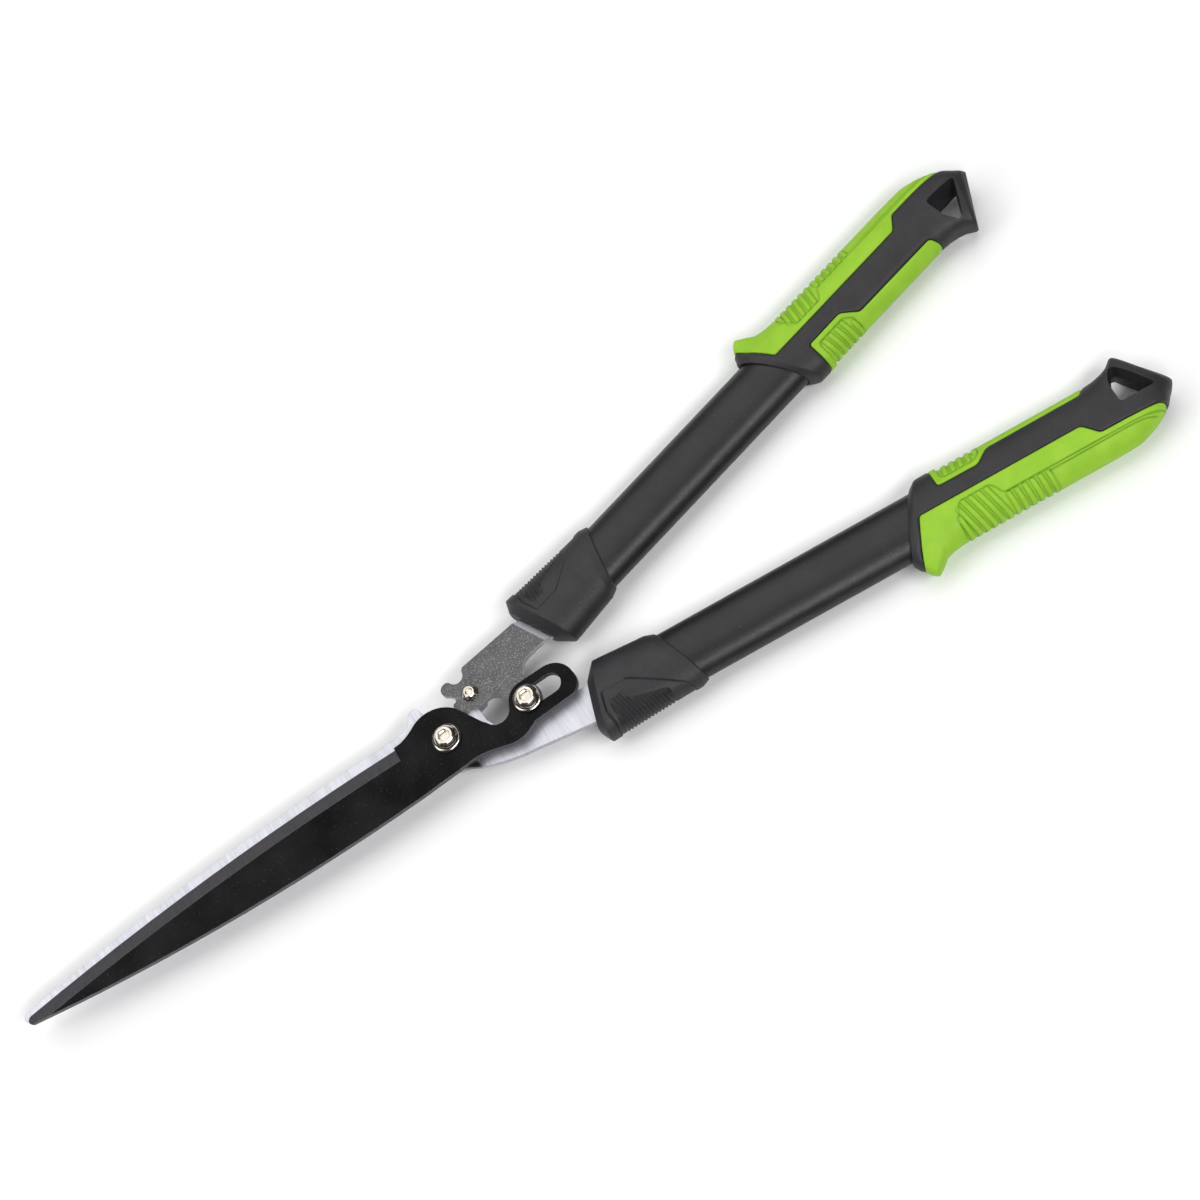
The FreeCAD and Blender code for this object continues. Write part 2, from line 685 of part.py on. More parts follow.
def make_tang_rivets(side, hand):
    item = doc.addObject("Part::Compound", hand + "tang_rivets")
    item.Links = rivet_row(hand + "rivet", "Size.rivet_radius")
    return place_on_handle(piece(item, hand + "tang_rivets"), side)


def make_collar(side, hand):
    rim_width = "Size.tube_half_width + Size.collar_rim"
    rim_height = "Size.tube_half_height + Size.collar_rim / 2"
    body = oval_form(hand + "collar_form", [
        ("Size.collar_nose_width", "Size.collar_nose_height",
         "Size.collar_front", "0", "collar_front_slant"),
        ("Size.collar_half_width", "Size.collar_half_height",
         "Size.collar_shoulder", "0", "collar_front_slant"),
        ("Size.collar_rear_width", "Size.collar_rear_height",
         "Size.collar_rear_shoulder", "0", "collar_back_slant"),
        (rim_width, rim_height, "Size.collar_back", "0", "collar_back_slant"),
    ])
    bore = oval_bar(hand + "collar_bore", "Size.tube_half_width + Size.fit_gap",
                    "Size.tube_half_height + Size.fit_gap",
                    "Size.tube_front - Size.fit_gap", "Size.tube_back")
    mouth = tang_opening(hand + "collar_mouth", "Size.mouth_gap", "Size.collar_front - 10",
                         "Size.tube_front + 1")
    tools = fuse(hand + "collar_cuts", [bore, mouth])
    return place_on_handle(piece(cut(hand + "collar", body, tools), hand + "collar"), side)


def inner_form(name, gap):
    """The hard core's skin below the pads, grown by a gap."""
    width = "Size.%s - Size.pad_thick + %s"
    height = "Size.%s - Size.pad_thick_up + %s"
    body = oval_form(name + "_body", [
        (width % ("grip_half_width", gap), height % ("grip_half_height", gap),
         "Size.ring_front / 2 - %s" % gap, "0", "ring_slant"),
        (width % ("grip_half_width", gap), height % ("grip_half_height", gap),
         "Size.grip_straight"),
        (width % ("tail_half_width", gap), height % ("tail_half_height", gap),
         "Size.tail_spread", "Size.tail_offset"),
        (width % ("tail_end_width", gap), height % ("tail_end_height", gap),
         "Size.tail_end", "Size.tail_end_offset"),
    ])
    limit = block(name + "_limit", [
        (-30.0, -40.0), (150.0, -40.0), (150.0, -15.0), (129.0, 6.4),
        (105.0, 18.2, 119.0, 13.4), (95.0, 19.5), (-30.0, 19.5)], "3 * Size.tube_half_height")
    return common(name, [body, limit])


def grip_form(name):
    """The whole grip without its hook and hang hole."""
    body = oval_form(name + "_body", [
        ("Size.ring_half_width", "Size.ring_half_height", "Size.ring_front", "0", "ring_slant"),
        ("Size.grip_half_width", "Size.grip_half_height", "Size.ring_shoulder", "0",
         "ring_slant"),
        ("Size.grip_half_width", "Size.grip_half_height", "Size.grip_straight"),
        ("Size.tail_half_width", "Size.tail_half_height", "Size.tail_spread",
         "Size.tail_offset"),
        ("Size.tail_end_width", "Size.tail_end_height", "Size.tail_end",
         "Size.tail_end_offset"),
    ])
    limit = block(name + "_limit", [
        (-30.0, -30.0), (85.0, -30.0), (95.0, -20.3), (101.0, -20.3),
        (113.6, -24.5, 108.6, -21.5), (116.6, -25.8, 114.9, -25.9), (137.3, -0.5),
        (130.3, 9.0), (105.0, 20.4, 119.3, 15.9),
        (85.0, 30.0), (-30.0, 30.0)], "3 * Size.tube_half_height")
    return common(name, [body, limit])


def make_grip(side, hand):
    whole = grip_form(hand + "grip_form")
    under = common(hand + "under", [whole, inner_form(hand + "under_form", "0")])
    over_core = inner_form(hand + "pad_inside", "Size.fit_gap")
    deep = "3 * Size.tube_half_height"
    outer_zone = block(hand + "outer_zone", [
        (-0.5, 1.7), (87.0, 1.7), (93.8, 9.3), (126.0, 9.3), (129.5, 10.5), (140.0, 40.0),
        (-18.5, 40.0)], deep)
    inner_zone = block(hand + "inner_zone", [
        (14.5, -8.1), (14.5, -40.0), (101.0, -40.0), (98.8, -20.0), (95.8, -14.8),
        (44.3, -14.6), (36.5, -7.9)], deep)
    hook = block(hand + "hook", [
        (-13.0, 15.0), (-13.0, 19.0), (-8.6, 27.4), (-5.0, 27.6, -6.6, 28.6), (-2.5, 25.0),
        (5.0, 20.4, 0.4, 21.9), (9.0, 15.0)], "Size.hook_half_height")
    hang_hole = block(hand + "hang_hole", rounded(
        [(109.8, -0.3), (109.8, -12.5), (113.4, -19.4), (115.9, -19.4), (129.4, -0.3)],
        1.8), deep)
    bore = oval_bar(hand + "grip_bore", "Size.tube_half_width + Size.fit_gap",
                    "Size.tube_half_height + Size.fit_gap", "Size.tube_front",
                    "Size.tube_back + Size.fit_gap")

    bare = cut(hand + "core_bare", whole, fuse(hand + "zones", [outer_zone, inner_zone]))
    core = cut(hand + "grip_core", fuse(hand + "core_solid", [bare, under]),
               fuse(hand + "core_cuts", [bore, hang_hole]))
    hooked = fuse(hand + "hooked_form", [whole, hook])
    outer_pad = cut(hand + "outer_grip_pad",
                    common(hand + "outer_part", [hooked, outer_zone]), over_core)
    inner_pad = cut(hand + "inner_grip_pad",
                    common(hand + "inner_part", [whole, inner_zone]), over_core)
    for item, label in ((core, "grip_core"), (outer_pad, "outer_grip_pad"),
                        (inner_pad, "inner_grip_pad")):
        place_on_handle(piece(item, hand + label), side)


# ---------------------------------------------------------------- the whole tool

make_upper_blade()
make_lower_blade()
make_lever_plate()
make_pivot_set()
make_slot_set()
make_lever_set()
for side, hand in ((1, "right_"), (-1, "left_")):
    make_tube(side, hand)
    make_tang_insert(side, hand)
    make_tang_rivets(side, hand)
    make_collar(side, hand)
    make_grip(side, hand)

ORIGIN = Vector(size["origin_x"], size["origin_y"], size["origin_z"])
for item in sub_parts:
    item.Placement = FreeCAD.Placement(-ORIGIN, FreeCAD.Rotation()) * item.Placement

doc.recompute()

for item in doc.Objects:
    if "Invalid" in item.State or "Error" in item.State:
        raise RuntimeError("%s did not compute: %s" % (item.Name, item.State))

os.makedirs("parts", exist_ok=True)
for item in sub_parts:
    shape = item.Shape
    if shape.isNull() or not shape.isValid():
        raise RuntimeError("%s is not a sound shape" % item.Label)
    shape.exportStep("parts/%s.step" % item.Label)
    bounds = shape.BoundBox
    print("%-22s solids %d  volume %9.1f  x %7.1f %7.1f  y %6.1f %6.1f  z %6.2f %6.2f" % (
        item.Label, len(shape.Solids), shape.Volume, bounds.XMin, bounds.XMax,
        bounds.YMin, bounds.YMax, bounds.ZMin, bounds.ZMax))
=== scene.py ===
import json
import math
import bpy
import numpy as np
from mathutils import Matrix, Vector


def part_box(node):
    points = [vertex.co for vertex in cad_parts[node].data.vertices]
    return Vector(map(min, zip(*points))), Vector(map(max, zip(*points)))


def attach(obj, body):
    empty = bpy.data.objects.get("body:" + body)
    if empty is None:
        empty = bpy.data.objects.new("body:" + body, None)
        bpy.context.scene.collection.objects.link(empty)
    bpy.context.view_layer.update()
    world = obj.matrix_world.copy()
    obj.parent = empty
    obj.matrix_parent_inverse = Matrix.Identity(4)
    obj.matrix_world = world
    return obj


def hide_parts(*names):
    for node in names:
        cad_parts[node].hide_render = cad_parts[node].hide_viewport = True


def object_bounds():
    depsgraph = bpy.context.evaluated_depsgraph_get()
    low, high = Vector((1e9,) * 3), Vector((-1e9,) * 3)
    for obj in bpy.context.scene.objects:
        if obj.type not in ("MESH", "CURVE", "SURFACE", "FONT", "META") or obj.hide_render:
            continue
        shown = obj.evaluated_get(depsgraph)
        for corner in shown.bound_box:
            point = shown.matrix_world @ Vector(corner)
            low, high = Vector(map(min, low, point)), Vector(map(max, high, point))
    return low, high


# Hedge shears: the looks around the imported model. Meshes are worked out in
# millimetres. A handle's own frame has x along the handle, from the blades to the
# grip's end, y outward and z up, with its zero at the front ring of the grip.

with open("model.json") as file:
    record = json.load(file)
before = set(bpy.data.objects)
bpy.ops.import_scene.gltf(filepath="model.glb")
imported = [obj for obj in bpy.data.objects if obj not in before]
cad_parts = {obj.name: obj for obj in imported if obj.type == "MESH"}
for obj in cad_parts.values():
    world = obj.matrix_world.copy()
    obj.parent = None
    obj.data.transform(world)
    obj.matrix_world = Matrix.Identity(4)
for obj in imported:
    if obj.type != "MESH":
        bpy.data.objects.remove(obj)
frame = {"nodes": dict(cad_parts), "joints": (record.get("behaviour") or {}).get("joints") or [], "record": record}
cad_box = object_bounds()

MM = 0.001
HANDLE_ANGLE = math.radians(9.68)
BLADE_ANGLE = math.radians(-4.71)
TUBE_SPAN = (-168.0, 88.0)
SIDES = ((1, "right_", "lever_half"), (-1, "left_", "lower_half"))
PIVOT = frame["joints"][1]["pos_m"]


# ---------------------------------------------------------------- materials

class Look:
    """A material built round one Principled shader, with sizes in millimetres."""

    def __init__(self, name, roughness, metallic=0.0, specular=0.5):
        self.material = bpy.data.materials.new(name)
        self.material.use_nodes = True
        self.tree = self.material.node_tree
        self.shader = self.tree.nodes["Principled BSDF"]
        self.place = self.node("ShaderNodeTexCoord").outputs["Object"]
        self.normal = None
        self.set("Roughness", roughness)
        self.set("Metallic", metallic)
        self.set("Specular IOR Level", specular)

    def node(self, kind, inputs=None, **settings):
        item = self.tree.nodes.new(kind)
        for key, value in settings.items():
            setattr(item, key, value)
        for key, value in (inputs or {}).items():
            if isinstance(value, bpy.types.NodeSocket):
                self.tree.links.new(value, item.inputs[key])
            else:
                item.inputs[key].default_value = value
        return item

    def set(self, name, value):
        if isinstance(value, bpy.types.NodeSocket):
            self.tree.links.new(value, self.shader.inputs[name])
        else:
            self.shader.inputs[name].default_value = value

    def math(self, operation, *values):
        item = self.node("ShaderNodeMath", dict(enumerate(values)), operation=operation)
        return item.outputs[0]

    def fade(self, value, low, high, start=0.0, end=1.0):
        """The value's run from low to high, as a run from start to end."""
        return self.node("ShaderNodeMapRange", {
            "Value": value, "From Min": low, "From Max": high,
            "To Min": start, "To Max": end}).outputs["Result"]

    def blend(self, share, first, second):
        first, second = [value if isinstance(value, bpy.types.NodeSocket) else (*value, 1.0)
                         for value in (first, second)]
        return self.node("ShaderNodeMix", {0: share, 6: first, 7: second},
                         data_type="RGBA").outputs[2]

    def noise(self, size, detail=2.0, turn=0.0):
        """Noise of the given size along its own three axes, turned about z."""
        size = size if isinstance(size, tuple) else (size, size, size)
        grid = self.node("ShaderNodeMapping", {
            "Vector": self.place, "Rotation": (0.0, 0.0, turn),
            "Scale": [side * MM for side in size]}, vector_type="TEXTURE")
        return self.node("ShaderNodeTexNoise", {
            "Vector": grid.outputs[0], "Scale": 1.0, "Detail": detail}).outputs["Fac"]

    def specks(self, size, share, turn=0.0):
        """Sparse specks: the share sets how much of the noise stands out."""
        return self.fade(self.noise(size, 0.0, turn), 1.0 - share, 1.0 - share + 0.03)

    def bump(self, height, depth, strength=1.0):
        inputs = {"Height": height, "Distance": depth * MM, "Strength": strength}
        if self.normal is not None:
            inputs["Normal"] = self.normal
        self.normal = self.node("ShaderNodeBump", inputs).outputs["Normal"]
        self.set("Normal", self.normal)

    def soft_edges(self, radius):
        """Round the edges in the shading, and return how near an edge the point is."""
        self.normal = self.node("ShaderNodeBevel", {"Radius": radius * MM}, samples=6).outputs[0]
        self.set("Normal", self.normal)
        true = self.node("ShaderNodeNewGeometry").outputs["True Normal"]
        alike = self.node("ShaderNodeVectorMath", {0: self.normal, 1: true},
                          operation="DOT_PRODUCT").outputs["Value"]
        return self.fade(alike, 0.995, 0.85)

    def facing_up(self):
        """How squarely the surface faces up or down: 1 flat, 0 upright."""
        true = self.node("ShaderNodeNewGeometry").outputs["True Normal"]
        split = self.node("ShaderNodeSeparateXYZ", {0: true})
        return self.math("ABSOLUTE", split.outputs["Z"])

    def hollows(self, reach):
        """1 in the open, falling towards 0 down in grooves and joints."""
        return self.node("ShaderNodeAmbientOcclusion", {"Distance": reach * MM},
                         samples=8).outputs["AO"]


SHADED_GREEN = (0.085, 0.215, 0.003)
# a dark patch on the lower blade, off its pivot
DARK_PATCH_PLACE = (PIVOT[0] + 0.0032, PIVOT[1] - 0.0192, PIVOT[2])


def green_rubber():
    """Soft rubber, scuffed in places, with painted shade down in its grooves and along the edges of its pattern.
    """
    look = Look("green_rubber", 0.55, specular=0.35)
    cloud = look.fade(look.noise(9.0, 3.0), 0.35, 0.65)
    body = look.blend(cloud, (0.272, 0.530, 0.020), (0.310, 0.575, 0.028))
    scuff = look.math("MULTIPLY", look.specks((1.6, 0.5, 1.2), 0.24, 0.4), 0.18)
    worn = look.blend(scuff, body, (0.45, 0.62, 0.20))
    # painted shade: the rubber is blended toward SHADED_GREEN where it lies in hollows
    groove = look.fade(look.hollows(1.5), 0.40, 0.93)
    body = look.blend(groove, SHADED_GREEN, worn)
    # painted shade along the pads' panel edges, rib flanks and sunk lines, read from a point attribute
    painted_groove_shade = look.node("ShaderNodeAttribute", attribute_name="painted_groove_shade").outputs["Fac"]
    look.set("Base Color", look.blend(look.math("MULTIPLY", painted_groove_shade, 0.42), body, SHADED_GREEN))
    look.set("Roughness", look.fade(look.noise(2.0), 0.3, 0.7, 0.48, 0.66))
    look.set("Subsurface Weight", 0.08)
    look.set("Subsurface Radius", (0.0006, 0.0009, 0.0002))
    look.bump(look.noise(0.35, 3.0), 0.035)
    return look.material


def black_plastic():
    """Moulded plastic with a fine grain, with painted shade in its grooves."""
    look = Look("black_plastic", 0.5, specular=0.4)
    cloud = look.fade(look.noise(12.0, 3.0), 0.35, 0.65)
    body = look.blend(cloud, (0.0145, 0.0140, 0.0158), (0.0213, 0.0208, 0.0230))
    grain = look.fade(look.noise(0.5, 2.0), 0.35, 0.72)
    flecked = look.blend(look.math("MULTIPLY", grain, 0.35), body, (0.046, 0.046, 0.051))
    # painted shade: near black where the plastic lies in hollows and joints
    open_share = look.fade(look.hollows(2.5), 0.25, 0.9)
    look.set("Base Color", look.blend(open_share, (0.006, 0.006, 0.0065), flecked))
    look.set("Roughness", look.fade(look.noise(0.8), 0.3, 0.7, 0.42, 0.60))
    look.bump(look.noise(0.45, 3.0), 0.055)
    return look.material


def tube_paint():
    """Black powder coat with a little dust."""
    look = Look("tube_paint", 0.38, specular=0.40)
    cloud = look.fade(look.noise(15.0, 3.0), 0.35, 0.65)
    body = look.blend(cloud, (0.0100, 0.0100, 0.0113), (0.0142, 0.0142, 0.0160))
    dust = look.math("MULTIPLY", look.specks(0.8, 0.18), 0.25)
    look.set("Base Color", look.blend(dust, body, (0.22, 0.22, 0.24)))
    look.set("Roughness", look.fade(look.noise(1.1), 0.3, 0.7, 0.33, 0.45))
    look.bump(look.noise(0.6, 2.0), 0.03)
    return look.material


def coated_blade():
    """Black coat on the flat, bare ground steel on the bevel, greyer side walls."""
    look = Look("coated_blade", 0.4)
    edge = look.soft_edges(0.35)
    upright = look.facing_up()
    flat = look.fade(upright, 0.985, 0.998)
    ground = look.math("MULTIPLY", look.fade(upright, 0.55, 0.75),
                       look.math("SUBTRACT", 1.0, flat))
    cloud = look.fade(look.noise(22.0, 3.0), 0.3, 0.7)
    coat = look.blend(cloud, (0.0030, 0.0030, 0.0034), (0.0055, 0.0055, 0.0066))
    dust = look.math("MULTIPLY", look.specks(0.45, 0.20), 0.30)
    coat = look.blend(dust, coat, (0.45, 0.45, 0.48))
    lines = look.noise((0.28, 9.0, 9.0), 2.0, BLADE_ANGLE)
    steel = look.blend(look.fade(lines, 0.3, 0.7), (0.085, 0.082, 0.090), (0.125, 0.120, 0.130))
    wall = look.blend(look.fade(look.noise(0.8), 0.3, 0.7), (0.030, 0.030, 0.033),
                      (0.060, 0.060, 0.066))
    body = look.blend(flat, wall, coat)
    body = look.blend(ground, body, steel)
    worn = look.math("MULTIPLY", edge, look.fade(look.noise(3.0, 3.0), 0.30, 0.62))
    look.set("Base Color", look.blend(look.math("MULTIPLY", worn, 0.75), body,
                                      (0.26, 0.26, 0.28)))
    look.set("Metallic", look.math("MAXIMUM", look.math("MULTIPLY", ground, 0.8),
                                   look.math("MULTIPLY", worn, 0.7)))
    look.set("Roughness", look.fade(look.noise(2.5), 0.3, 0.7, 0.30, 0.42))
    sheen = look.fade(cloud, 0.0, 1.0, 0.052, 0.112)
    look.set("Specular IOR Level", look.fade(flat, 0.0, 1.0, 0.34, sheen))
    look.bump(lines, 0.02, look.math("MULTIPLY", ground, 0.7))
    look.bump(look.noise(0.5, 2.0), 0.012)
    return look.material


def bright_blade():
    """Bare steel ground across its length, with a few dark pits and a dark patch off its pivot."""
    look = Look("bright_blade", 0.36, 0.65)
    edge = look.soft_edges(0.3)
    wall = look.fade(look.facing_up(), 0.6, 0.3)
    lines = look.noise((0.30, 16.0, 16.0), 3.0, BLADE_ANGLE)
    wide = look.noise((2.2, 30.0, 30.0), 2.0, BLADE_ANGLE)
    tone = look.math("ADD", look.math("MULTIPLY", lines, 0.6), look.math("MULTIPLY", wide, 0.4))
    body = look.blend(look.fade(tone, 0.36, 0.64), (0.46, 0.464, 0.512), (0.66, 0.665, 0.715))
    pits = look.math("MULTIPLY", look.specks(0.6, 0.195), 0.5)
    body = look.blend(pits, body, (0.10, 0.10, 0.11))
    side = look.blend(look.fade(look.noise((0.6, 0.6, 6.0)), 0.3, 0.7), (0.33, 0.32, 0.36),
                      (0.52, 0.51, 0.56))
    body = look.blend(wall, body, side)
    # the blade is made near black in a ragged patch round DARK_PATCH_PLACE
    away = look.node("ShaderNodeVectorMath", {0: look.place, 1: DARK_PATCH_PLACE},
                     operation="DISTANCE").outputs["Value"]
    ragged = look.math("ADD", away, look.math("MULTIPLY", look.noise(1.6, 3.0), 0.006))
    dark_patch = look.fade(ragged, 0.0096, 0.0058)
    look.set("Base Color", look.blend(dark_patch, body, (0.035, 0.032, 0.03)))
    look.set("Roughness", look.math("ADD", look.fade(lines, 0.3, 0.7, 0.30, 0.46),
                                    look.math("MULTIPLY", edge, -0.08)))
    look.bump(lines, 0.010)
    return look.material


def lever_steel():
    """Grey blasted steel with painted glints on its fine grain, brighter sheared edges and a painted highlight on
    its bend.
    """
    look = Look("lever_steel", 0.42, 0.9)
    edge = look.soft_edges(0.35)
    upright = look.facing_up()
    wall = look.fade(upright, 0.6, 0.3)
    cloud = look.fade(look.noise(7.0, 3.0), 0.3, 0.7)
    body = look.blend(cloud, (0.100, 0.100, 0.102), (0.134, 0.134, 0.136))
    grain = look.fade(look.noise(0.45, 1.0), 0.3, 0.7)
    body = look.blend(grain, look.blend(0.45, body, (0.07, 0.07, 0.07)), body)
    # painted glints: sparse bright specks on the blasted face
    glint = look.math("MULTIPLY", look.specks(0.48, 0.31), 0.6)
    body = look.blend(glint, body, (0.46, 0.46, 0.46))
    bare = look.math("MAXIMUM", look.math("MULTIPLY", edge, 0.6), wall)
    body = look.blend(bare, body, (0.48, 0.48, 0.49))
    # painted highlight: the sloped faces of the lever's bend are made paler and less metallic
    painted_bend_highlight = look.math("MULTIPLY", look.fade(upright, 0.3, 0.4), look.fade(upright, 0.98, 0.95))
    look.set("Base Color", look.blend(painted_bend_highlight, body, (0.56, 0.56, 0.62)))
    look.set("Metallic", look.fade(painted_bend_highlight, 0.0, 1.0, 0.9, 0.15))
    look.set("Roughness", look.fade(look.noise(0.5), 0.3, 0.7, 0.34, 0.55))
    look.bump(look.noise(0.5, 2.0), 0.035)
    return look.material


def bolt_nickel():
    """Bright nickel plate, slightly uneven."""
    look = Look("bolt_nickel", 0.13, 1.0)
    cloud = look.fade(look.noise(3.0, 3.0), 0.3, 0.7)
    look.set("Base Color", look.blend(cloud, (0.58, 0.53, 0.46), (0.72, 0.67, 0.60)))
    look.set("Roughness", look.fade(look.noise(0.9), 0.3, 0.7, 0.14, 0.26))
    look.bump(look.noise(0.8, 2.0), 0.008)
    return look.material


def plain_metal(name, dark, light, roughness, metallic=1.0):
    """Turned or drawn metal with fine lines round it."""
    look = Look(name, roughness, metallic)
    look.soft_edges(0.2)
    lines = look.noise((3.0, 3.0, 0.15), 2.0)
    look.set("Base Color", look.blend(look.fade(lines, 0.3, 0.7), dark, light))
    look.set("Roughness", look.fade(look.noise(1.0), 0.3, 0.7, roughness - 0.05,
                                    roughness + 0.08))
    look.bump(lines, 0.006)
    return look.material


def insert_nylon():
    """Pale natural nylon, a little see-through."""
    look = Look("insert_nylon", 0.5)
    look.set("Base Color", look.blend(look.fade(look.noise(4.0, 3.0), 0.3, 0.7),
                                      (0.60, 0.59, 0.54), (0.70, 0.69, 0.65)))
    look.set("Subsurface Weight", 0.15)
    look.set("Subsurface Radius", (0.001, 0.001, 0.0008))
    look.bump(look.noise(0.8, 2.0), 0.02)
    return look.material


MATERIALS = {
    "coated_blade": coated_blade(),
    "bright_blade": bright_blade(),
    "lever_steel": lever_steel(),
    "bolt_nickel": bolt_nickel(),
    "washer_black": plain_metal("washer_black", (0.010, 0.010, 0.011), (0.022, 0.022, 0.024),
                                0.34, 0.4),
    "bush_steel": plain_metal("bush_steel", (0.34, 0.33, 0.31), (0.52, 0.51, 0.49), 0.3),
    "tube_paint": tube_paint(),
    "black_plastic": black_plastic(),
    "insert_nylon": insert_nylon(),
    "rivet_aluminium": plain_metal("rivet_aluminium", (0.62, 0.62, 0.63), (0.78, 0.78, 0.79),
                                   0.3),
    "green_rubber": green_rubber(),
}


# ---------------------------------------------------------------- mesh tools

def make_mesh(name, points, faces):
    """A smooth-shaded mesh from points in millimetres."""
    mesh = bpy.data.meshes.new(name)
    mesh.from_pydata((np.asarray(points, float) * MM).tolist(), [], faces)
    mesh.validate()
    mesh.shade_smooth()
    return mesh


def add_piece(name, mesh, node, body, slot):
    """A piece that stands for a CAD node and moves with its body."""
    piece = bpy.data.objects.new(name, mesh)
    bpy.context.scene.collection.objects.link(piece)
    mesh.materials.append(MATERIALS[slot])
    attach(piece, body)
    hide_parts(node)
    return piece


def handle_matrix(side):
    """From a handle's own frame to the row frame; the left handle is rolled over."""
    low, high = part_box("right_tube" if side > 0 else "left_tube")
    turn = Matrix.Rotation(side * HANDLE_ANGLE, 4, "Z")
    roll = Matrix.Rotation(0.0 if side > 0 else math.pi, 4, "X")
    to_zero = Matrix.Translation((-MM * sum(TUBE_SPAN) / 2, 0, 0))
    return Matrix.Translation((low + high) / 2) @ turn @ roll @ to_zero


def ease(value, low, high):
    """0 at low, 1 at high, and level at both ends."""
    share = np.clip((value - low) / (high - low), 0, 1)
    return share * share * (3 - 2 * share)


def rounded(corners, radius, closed=True, steps=6):
    """Points of a path with its corners rounded off."""
    corners = np.array(corners, float)
    points = []
    count = len(corners)
    for index, corner in enumerate(corners):
        if not closed and index in (0, count - 1):
            points.append(corner)
            continue
        before = corners[index - 1] - corner
        after = corners[(index + 1) % count] - corner
        reach = min(radius, 0.45 * np.hypot(*before), 0.45 * np.hypot(*after))
        start = corner + before / np.hypot(*before) * reach
        end = corner + after / np.hypot(*after) * reach
        for share in np.linspace(0, 1, steps):
            points.append(start * (1 - share) ** 2 + corner * 2 * share * (1 - share)
                          + end * share ** 2)
    return np.array(points)


def to_path(x, y, path, closed):
    """Distance from points to a path, and the offset from its nearest point."""
    ends = np.roll(path, -1, axis=0) if closed else path[1:]
    starts = path if closed else path[:-1]
    best = np.full(x.shape, np.inf)
    offset = np.zeros(x.shape + (2,))
    for start, end in zip(starts, ends):
        run = end - start
        share = ((x - start[0]) * run[0] + (y - start[1]) * run[1]) / max(run @ run, 1e-12)
        share = np.clip(share, 0, 1)
        away = np.stack([x - start[0] - share * run[0], y - start[1] - share * run[1]], axis=-1)
        gap = np.hypot(away[..., 0], away[..., 1])
        nearer = gap < best
        best[nearer] = gap[nearer]
        offset[nearer] = away[nearer]
    return best, offset


def depth_in(x, y, polygon):
    """Depth inside a polygon, negative outside, and the direction that it grows in."""
    gap, offset = to_path(x, y, polygon, True)
    within = np.zeros(x.shape, bool)
    for start, end in zip(polygon, np.roll(polygon, -1, axis=0)):
        if start[1] == end[1]:
            continue
        spans = (start[1] > y) != (end[1] > y)
        crossing = start[0] + (y - start[1]) / (end[1] - start[1]) * (end[0] - start[0])
        within ^= spans & (x < crossing)
    sign = np.where(within, 1.0, -1.0)
    return sign * gap, offset * (sign / np.maximum(gap, 1e-9))[..., None]


def resample(rows, step, blur, closed, sparse_until=None, thinning=10):
    """Rows a step apart along a skin, with the corners between the given rows eased.
    Rows before the given distance are thinned out."""
    rows = np.array(rows, float)
    if closed:
        rows = np.vstack([rows, rows[:1]])
    travel = np.concatenate([[0], np.cumsum(np.linalg.norm(np.diff(rows[:, [0, 2, 4]], axis=0),
                                                           axis=1))])
    stops = np.linspace(0, travel[-1], int(travel[-1] / step) + 1)
    if closed:
        stops = stops[:-1]
    even = np.stack([np.interp(stops, travel, column) for column in rows.T], axis=1)
    half = int(4 * blur / step)
    weights = np.exp(-0.5 * (np.arange(-half, half + 1) * step / blur) ** 2)
    weights /= weights.sum()
    if closed:
        padded = np.pad(even, ((half, half), (0, 0)), mode="wrap")
    else:
        padded = np.pad(even, ((half, half), (0, 0)), mode="reflect", reflect_type="odd")
    eased = np.stack([np.convolve(column, weights, "valid") for column in padded.T], axis=1)
    if sparse_until is not None:
        keep = (stops > sparse_until) | (np.arange(len(stops)) % thinning == 0)
        eased = eased[keep]
    return eased


def ovals(rows, count):
    """A ring of evenly spaced points for each row: where its plane crosses the axis,
    the plane's lean, its outer and inner reach, its half height and squareness."""
    angle = np.linspace(0, 2 * np.pi, 721)
    cosine = np.cos(angle)
    sine = np.sin(angle)
    share = np.arange(count) / count
    rings = np.empty((len(rows), count, 3))
    for ring, (x, lean, outer, inner, height, power) in zip(rings, rows):
        across = np.sign(cosine) * np.abs(cosine) ** (2 / power)
        upward = np.sign(sine) * np.abs(sine) ** (2 / power)
        y = (outer + inner) / 2 + (outer - inner) / 2 * across
        z = height * upward
        travel = np.concatenate([[0], np.cumsum(np.hypot(np.diff(y), np.diff(z)))])
        ring[:, 1] = np.interp(share * travel[-1], travel, y)
        ring[:, 2] = np.interp(share * travel[-1], travel, z)
        ring[:, 0] = x + lean * ring[:, 1]
    return rings


def outward(points, closed):
    """Unit normals of a grid of rings."""
    if closed:
        along = np.roll(points, -1, axis=0) - np.roll(points, 1, axis=0)
    else:
        along = np.gradient(points, axis=0)
    around = np.roll(points, -1, axis=1) - np.roll(points, 1, axis=1)
    normal = np.cross(around, along)
    return normal / np.maximum(np.linalg.norm(normal, axis=2, keepdims=True), 1e-9)


def fit_to_edge(points, normal, depth, growth):
    """Slide the grid points next to a zone's edge along the skin onto that edge."""
    for axis in (1, 0):
        other = np.roll(depth, -1, axis)
        crossing = depth * other < 0
        if axis == 0:
            crossing[-1] = False
        here = crossing & (np.abs(depth) <= np.abs(other))
        there = np.roll(crossing & ~here, 1, axis)
        marked = here | there
        inward = np.concatenate([growth[marked], np.zeros((marked.sum(), 1))], axis=1)
        facing = normal[marked]
        slide = inward - facing * (facing * inward).sum(1, keepdims=True)
        rate = np.maximum((slide * inward).sum(1, keepdims=True), 0.15)
        points[marked] -= slide / rate * depth[marked][:, None]
        depth[marked] = 0.0


